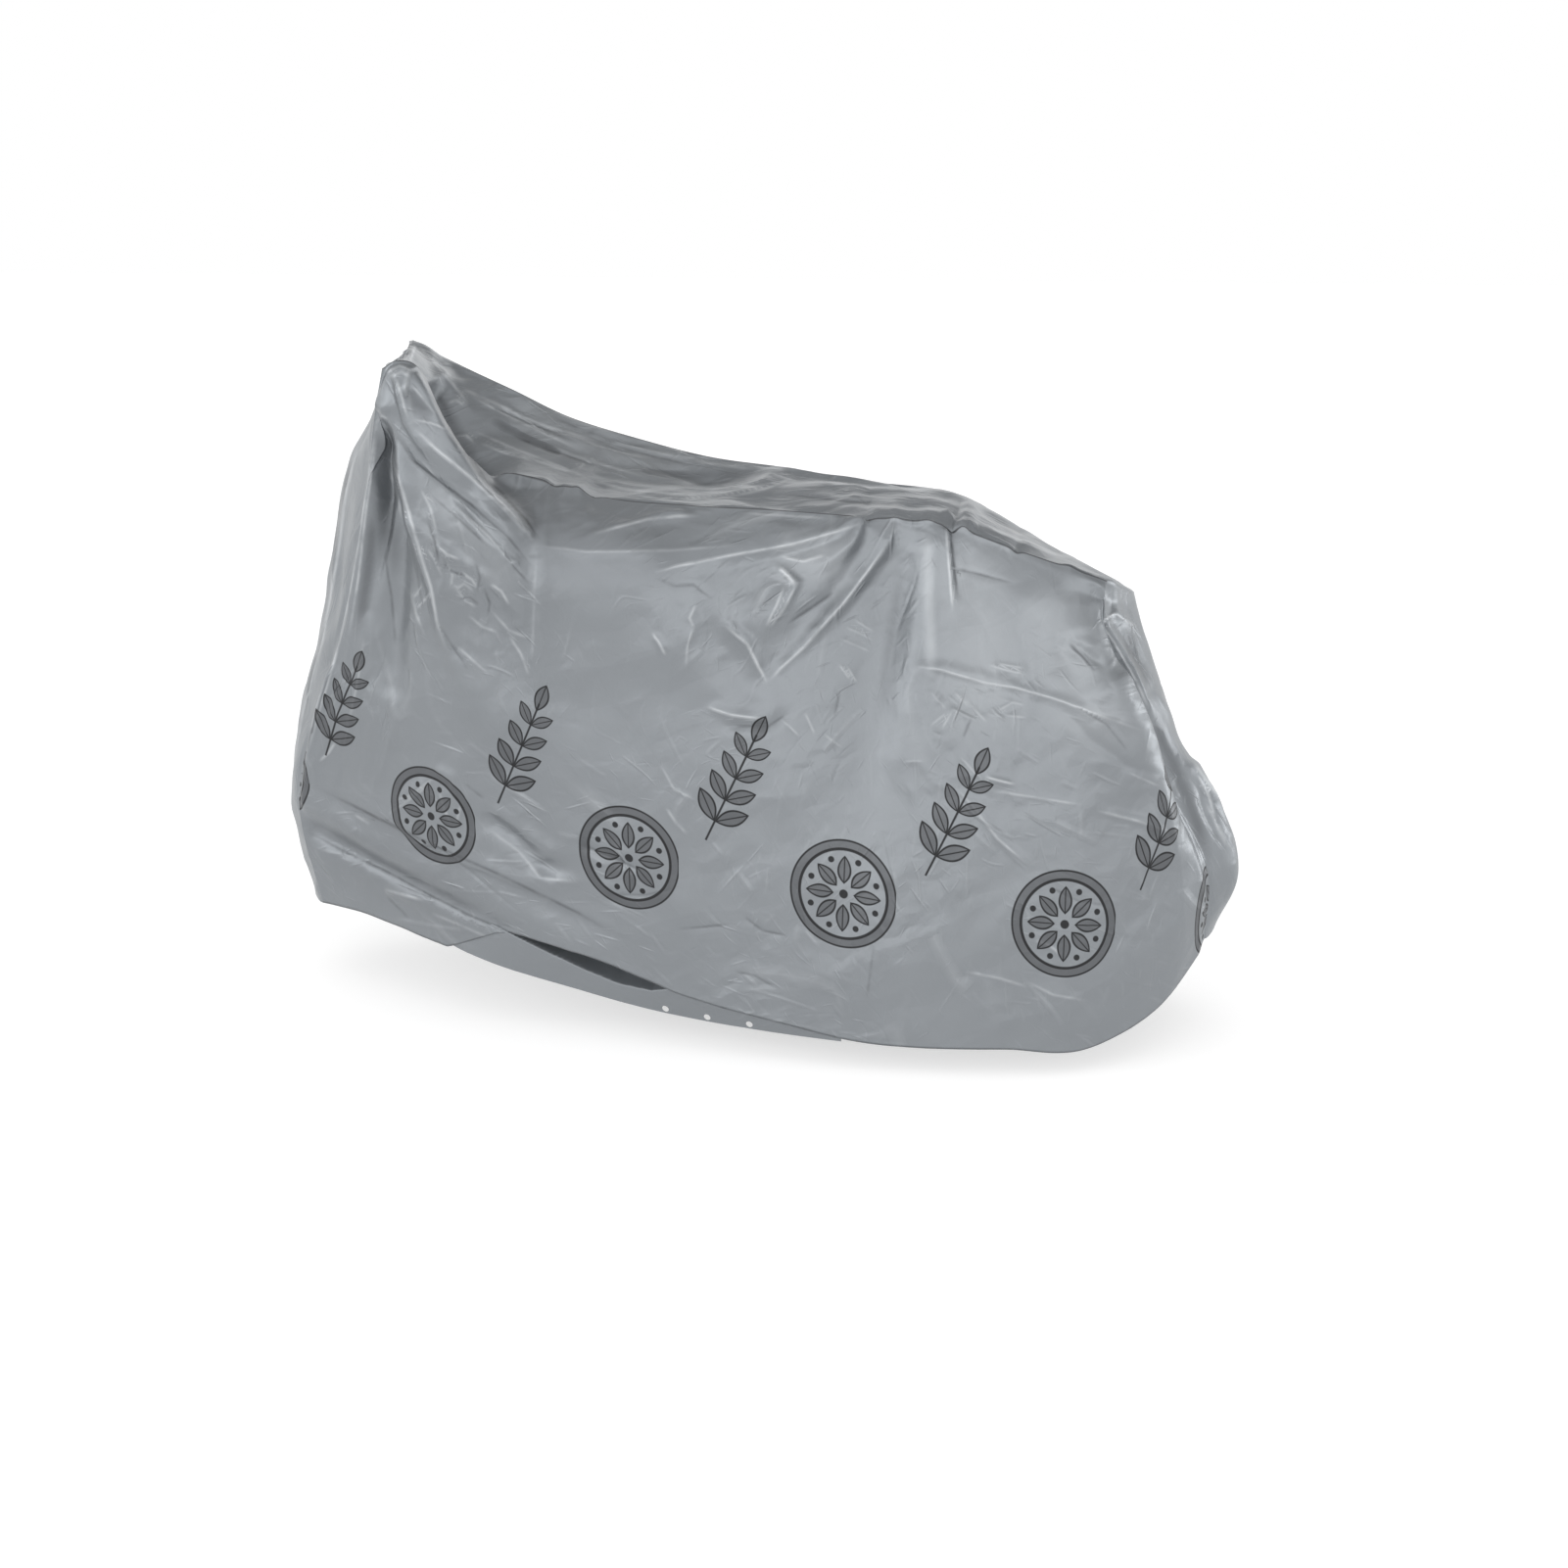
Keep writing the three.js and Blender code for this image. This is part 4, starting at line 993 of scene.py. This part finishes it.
def sprigMasks(x, y, plan):
    # pairs of leaves that shrink upwards on a straight stem, with one leaf at the tip
    line, blur, step = plan["line"], plan["blur"], plan["leafStep"]
    foot = y + step * 2.2
    order = (foot / step).math("FLOOR").most(0.0).least(plan["pairs"] - 1.0)
    scale = 1.08 - order * 0.1
    turn = math.radians(plan["leafTurn"])
    right, up = abs(x) / scale, (foot - order * step) / scale
    a = right * math.sin(turn) + up * math.cos(turn)
    b = right * math.cos(turn) - up * math.sin(turn)
    ink, fill = leafMasks(a, b, plan["leafLong"], plan["leafWide"], line, blur)
    tip = step * plan["pairs"]
    tipInk, tipFill = leafMasks(foot - tip + plan["tipDrop"], x, plan["leafLong"] * 0.9, plan["leafWide"], line, blur)
    stem = abs(x).under(0.8 * line, blur) * (1 - foot.under(-0.03, blur)) * foot.under(tip, blur)
    return ink.most(tipInk).most(stem), fill.most(tipFill)


def rosetteMasks(x, y, plan):
    # petals round a hub, a bead between each two, inside a ring of two lines
    line, blur = plan["line"], plan["blur"]
    r = (x * x + y * y).math("SQRT")
    sector = 2 * math.pi / plan["petals"]
    turn = (y.math("ARCTAN2", x) / sector + 0.5).math("FRACT") - 0.5
    across = (turn * sector).math("SINE") * r
    long = plan["petalTo"] - plan["petalFrom"]
    ink, fill = leafMasks(r - plan["petalFrom"], across, long, plan["petalWide"], line, blur)
    inner, outer = plan["rings"]
    hub = r.under(plan["hub"], blur)
    ring = abs(r - inner).under(1.1 * line, blur).most(abs(r - outer).under(0.7 * line, blur))
    beadTurn = abs(turn).math("SUBTRACT", 0.5) * sector * r
    beadOut = r - plan["beadAt"]
    bead = (beadTurn * beadTurn + beadOut * beadOut).math("SQRT").under(plan["beadSize"], blur)
    field = r.under(outer, blur) * (1 - r.under(inner, blur))
    return ink.most(ring).most(hub).most(bead), fill.most(field)


def printMasks(tree, plan, seed):
    # cells along the film: a sprig stands in each cell's first half and a rosette in its second
    film = Wire.node(tree, "ShaderNodeUVMap", {"uv_map": "film"})
    parts = film.put("ShaderNodeSeparateXYZ", None, {0: film})
    x, y = parts, parts.beside(1)
    pitch, lean = plan["pitch"], plan["lean"]
    cell = (x / pitch + seed).math("FRACT") * pitch
    sx, sy = cell - pitch * plan["sprigAt"], y - plan["sprigUp"]
    tx = sx * math.cos(lean) - sy * math.sin(lean)
    ty = sx * math.sin(lean) + sy * math.cos(lean)
    ink, fill = sprigMasks(tx, ty, plan)
    inkR, fillR = rosetteMasks(cell - pitch * plan["rosetteAt"], y - plan["rosetteUp"], plan)
    return ink.most(inkR), fill.most(fillR)


# film: silver-grey, satin, finely crinkled; heights and lengths in metres
filmPlan = {
    "tone": (0.214, 0.228, 0.242), "ink": (0.008, 0.008, 0.009), "fill": (0.085, 0.088, 0.094),
    # the weld's dark line, also painted shade of the band's overlap where it is widened
    "toneSpread": 0.06, "fillShare": 0.8, "inkShare": 0.96, "weldAndOverlapShade": (0.03, 0.03, 0.032), "weldShare": 0.75,
    "weldWide": 0.0016, "weldBlur": 0.0012, "lineRise": 0.0006,
    # painted light, lighter for highlights along creases and crinkle crests and in broad areas; painted shade, dark
    # along creases and in broad areas
    "paintedLight": (0.60, 0.62, 0.64), "paintedLightShare": 0.5, "paintedShade": (0.045, 0.048, 0.052), "paintedShadeShare": 0.7,
    "metal": 0.62, "rough": 0.4, "roughSpread": 0.16, "inkRough": 0.1, "shine": 0.22,
    "crinkling": {"least": 0.08, "base": 0.12, "pulled": 0.4, "cloud": 1.0, "patch": 1.8},
    # how thin and broken the painted crease lines are, how much broad painted light goes in, how strongly crinkle
    # crests paint a highlight
    "lineThin": 1.25, "broken": (2.4, 0.35, 0.1), "shadeShare": 0.6, "crinkleHighlight": 160.0, "weldMetal": 0.5,
    "cloudScale": 5, "patchScale": 11, "brokenScale": 38, "grainScale": 420, "grain": 0.00004,
    "facets": [((0.8, 0.2, 0.55), 9), ((-0.5, 0.4, 0.75), 13), ((0.25, 0.6, -0.9), 17), ((0.95, -0.3, -0.2), 24)],
    "facetSlope": 0.022, "facetBend": (4, 0.12), "softScale": 26, "soft": 0.0006,
    "fine": [((0.9, 0.25, 0.35), 33), ((-0.4, 0.3, 0.85), 43), ((0.3, 0.5, -0.8), 59), ((0.8, -0.4, -0.45), 79)],
    "fineSlope": 0.035, "fineBend": (15, 0.07),
    # fine creases: size of a cell, half length and half width of its crease, height, spread of its turn, offset
    "strokes": [(0.190, 0.085, 0.0080, 0.0030, 0.5, 0.0), (0.120, 0.054, 0.0050, 0.0022, 0.6, 0.3),
                (0.074, 0.034, 0.0040, 0.0016, 0.7, 0.7), (0.047, 0.021, 0.0032, 0.0011, 0.8, 1.9),
                (0.031, 0.0135, 0.0026, 0.0008, 0.9, 3.1), (0.022, 0.0095, 0.0020, 0.0006, 1.0, 4.7)],
}


def strokeHeight(flat, way, sizes):
    # one straight crease through the middle of each cell of a scatter: a sharp crest, 1 - |b| / half,
    # that fades along it by 1 - (a / long) squared, turned the way the film is pulled, more or less
    cell, long, half, rise, spread, offset = sizes
    moved = flat.vector("ADD", (offset, 0.37 * offset, 0.0))
    cells = flat.put("ShaderNodeTexVoronoi", {"voronoi_dimensions": "2D"},
                     {"Vector": moved, "Scale": 1 / cell, "Randomness": 0.8}, "Position")
    chance = flat.put("ShaderNodeSeparateColor", None, {0: cells.beside("Color")})
    red, green, blue = chance, chance.beside(1), chance.beside(2)
    parts = flat.put("ShaderNodeSeparateXYZ", None, {0: moved.vector("SUBTRACT", cells)})
    x, y = parts, parts.beside(1)
    turn = way + (red - 0.5) * (2 * spread)
    cosine, sine = turn.math("COSINE"), turn.math("SINE")
    a, b = x * cosine + y * sine, y * cosine - x * sine
    fade = (1 - (a / long) * (a / long)).most(0.0)
    crest = (1 - abs(b) / (half * (0.55 + blue * blue * 1.3))).most(0.0)
    return fade * crest * (green * 1.7 - 0.5) * rise


def facetHeight(place, ways, slope, bend):
    # triangle waves along some ways over a place that is bent by a noise
    scale, sway = bend
    bent = place.noise(scale, 2.0, "Color").vector("MULTIPLY_ADD", (sway,) * 3, place)
    height = 0.0
    for way, often in ways:
        run = bent.vector("DOT_PRODUCT", way, out="Value")
        height = height + (run * float(often)).math("PINGPONG", 1.0) * (slope / often)
    return height, bent


def filmHeight(place, cloud, plan):
    # flat facets between straight folds, a soft unevenness, and fine creases, more of them where the film is pulled
    height, bent = facetHeight(place, plan["facets"], plan["facetSlope"], plan["facetBend"])
    fine, _ = facetHeight(place, plan["fine"], plan["fineSlope"], plan["fineBend"])
    flat = place.put("ShaderNodeUVMap", {"uv_map": "flat"})
    pulls = [place.stored(label) for label in shareNames[:4]]
    way = (pulls[1] - pulls[3]).math("ARCTAN2", pulls[0] - pulls[2]) * 0.5
    pulled = pulls[0].most(pulls[1]).most(pulls[2]).most(pulls[3])
    patch = place.noise(plan["patchScale"], 1.0)
    much = plan["crinkling"]
    strength = much["base"] + pulled * much["pulled"] + (cloud - 0.5) * much["cloud"] + (patch - 0.5) * much["patch"]
    strength = strength.most(much["least"])
    strokes = 0.0
    for sizes in plan["strokes"]:
        strokes = strokes + strokeHeight(flat, way, sizes)
    soft = bent.noise(plan["softScale"], 3.0)
    grain = place.noise(plan["grainScale"], 2.0)
    creased = strokes * strength
    return height + creased + fine * strength + soft * plan["soft"] + grain * plan["grain"], creased


def filmFinish(name, plan, printed=None, seed=0.0):
    # a cloudy tone, with painted highlights and painted shade along its fine creases, broad painted light and painted
    # shade, painted highlights on crinkle crests, dark at the weld with painted shade of the overlap where it is
    # widened, then the print over it
    material = bpy.data.materials.new(name)
    material.use_nodes = True
    tree = material.node_tree
    tree.nodes.clear()
    place = Wire.node(tree, "ShaderNodeTexCoord", None, None, "Object")
    cloud = place.noise(plan["cloudScale"], 3.0)
    # the dark weld line, wider where it is painted shade of the band's overlap
    weldAndOverlapShade = place.stored("seam").under(plan["weldWide"], plan["weldBlur"])
    low, high = (tuple(share * c for c in plan["tone"]) for share in (1 - plan["toneSpread"], 1 + plan["toneSpread"]))
    height, creased = filmHeight(place, cloud, plan)
    # broad painted light and painted shade, and the nearest fine crease's side and distance and its rise
    paintedLightAndShade, gap, mark = [place.stored(label) for label in shareNames[4:]]
    broken = place.noise(plan["brokenScale"], 2.0)
    gain, less, least = plan["broken"]
    # along each fine crease a painted highlight where its rise is above 0 and painted shade where below, broken up
    # along it; it also raises the bump
    line = (1 - abs(gap) * plan["lineThin"]).most(0.0) * mark * (broken * gain - less).most(least).least(1.0)
    # painted light: highlights along the crease lines, broad lighter areas and highlights on the crinkle crests
    paintedLight = line.most(0.0) + paintedLightAndShade.most(0.0) * plan["shadeShare"] + (creased * plan["crinkleHighlight"]).most(0.0)
    paintedLight = paintedLight.least(1.0) * plan["paintedLightShare"]
    # painted shade: dark along crease lines, in the pocket and in broad areas
    paintedShade = ((-line).most(0.0) + (-paintedLightAndShade).most(0.0)).least(1.0) * plan["paintedShadeShare"]
    tone = cloud.blend(low, high)
    tone = paintedLight.blend(tone, plan["paintedLight"])
    tone = paintedShade.blend(tone, plan["paintedShade"])
    # darkened at the weld, and with painted shade of the overlap where the weld line is widened
    tone = (weldAndOverlapShade * plan["weldShare"]).blend(tone, plan["weldAndOverlapShade"])
    metal = 1 - weldAndOverlapShade * plan["weldMetal"]
    rough = plan["rough"] + (cloud - 0.5) * plan["roughSpread"]
    if printed:
        ink, fill = printMasks(tree, printed, seed)
        tone = (fill * plan["fillShare"]).blend(tone, plan["fill"])
        tone = (ink * plan["inkShare"]).blend(tone, plan["ink"])
        metal = metal * (1 - ink)
        rough = rough + ink * plan["inkRough"]
    bump = place.put("ShaderNodeBump", None,
                     {"Height": height + line * plan["lineRise"], "Distance": 1.0, "Strength": 1.0}, "Normal")
    shader = place.put("ShaderNodeBsdfPrincipled", None,
                       {"Base Color": tone, "Metallic": metal * plan["metal"], "Roughness": rough, "Normal": bump,
                        "Specular IOR Level": plan["shine"]})
    shader.put("ShaderNodeOutputMaterial", None, {"Surface": shader})
    return material


def dress(piece, material, node):
    piece.data.materials.append(material)
    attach(piece, "root")
    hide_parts(node)


filmNear = filmFinish("filmNear", filmPlan, inkPrint, 0.1)
filmFar = filmFinish("filmFar", filmPlan, inkPrint, 0.55)
filmPlain = filmFinish("filmPlain", filmPlan)
dress(nearPiece, filmNear, "near_panel")
dress(farPiece, filmFar, "far_panel")
dress(bandPiece, filmPlain, "top_band")
dress(stripPiece, filmPlain, "hem_strip")
print("film finished")

# floor and light: a pale lit floor, light that is bright towards the near side and dim behind, darker higher up,
# with a lit ceiling, a low bright strip behind and two soft boxes
studio = {
    "floorDrop": 0.033, "floorSide": 60, "floorTone": 0.5, "floorGlow": 0.6, "backdrop": 1.0,
    "bright": 2.25, "dim": 0.28, "from": (-0.1, -0.995, 0.0), "turnAway": (-1.0, 0.98),
    "lowHigh": (0.3, 0.85), "high": 0.24, "aim": (0, 0, 0.45),
    "ceiling": 0.72, "ceilingFrom": (0.6, 0.9), "strip": 1.8, "stripUp": 0.2, "stripHalf": 0.18,
    "softboxes": [("softbox", (-3.0, -2.6, 1.7), (1.4, 2.0), 12), ("tailbox", (3.4, 1.6, 0.4), (1.0, 1.0), 20)],
}


def buildStudio(plan):
    half = plan["floorSide"] / 2
    z = cadBox[0][2] - plan["floorDrop"]
    mesh = bpy.data.meshes.new("studioFloor")
    mesh.from_pydata([(-half, -half, z), (half, -half, z), (half, half, z), (-half, half, z)], [], [(0, 1, 2, 3)])
    floor = bpy.data.objects.new("studioFloor", mesh)
    scene.collection.objects.link(floor)
    paper = bpy.data.materials.new("paper")
    paper.use_nodes = True
    shader = paper.node_tree.nodes["Principled BSDF"]
    shader.inputs["Base Color"].default_value = (plan["floorTone"],) * 3 + (1,)
    shader.inputs["Roughness"].default_value = 1.0
    shader.inputs["Specular IOR Level"].default_value = 0.0
    shader.inputs["Emission Color"].default_value = (1, 1, 1, 1)
    shader.inputs["Emission Strength"].default_value = plan["floorGlow"]
    mesh.materials.append(paper)
    world = bpy.data.worlds.new("studio")
    scene.world = world
    world.use_nodes = True
    tree = world.node_tree
    tree.nodes.clear()
    place = Wire.node(tree, "ShaderNodeTexCoord", None, None, "Generated")
    towards = place.vector("DOT_PRODUCT", plan["from"], out="Value")
    up = place.put("ShaderNodeSeparateXYZ", None, {0: place}, 2)
    turned = towards.ramp(*plan["turnAway"], plan["dim"], plan["bright"])
    raised = up.ramp(*plan["lowHigh"], 1.0, plan["high"])
    ceiling = up.ramp(*plan["ceilingFrom"], 0.0, plan["ceiling"])
    behind = up.beside(1).most(0.0)
    level = (up - plan["stripUp"]) / plan["stripHalf"]
    glow = turned * raised + ceiling + behind * (-(level * level)).math("EXPONENT") * plan["strip"]
    seen = place.put("ShaderNodeLightPath", None, None, "Is Camera Ray")
    strength = glow + seen * (plan["backdrop"] - glow)
    background = place.put("ShaderNodeBackground", None, {"Color": (1, 1, 1, 1), "Strength": strength})
    background.put("ShaderNodeOutputWorld", None, {"Surface": background})
    for name, spot, size, power in plan["softboxes"]:
        data = bpy.data.lights.new(name, "AREA")
        data.shape = "RECTANGLE"
        data.size, data.size_y = size
        data.energy = power
        light = bpy.data.objects.new(name, data)
        scene.collection.objects.link(light)
        light.location = spot
        light.rotation_euler = (Vector(plan["aim"]) - light.location).to_track_quat("-Z", "Y").to_euler()


buildStudio(studio)
scene.view_settings.view_transform = "Standard"
print("studio lit")
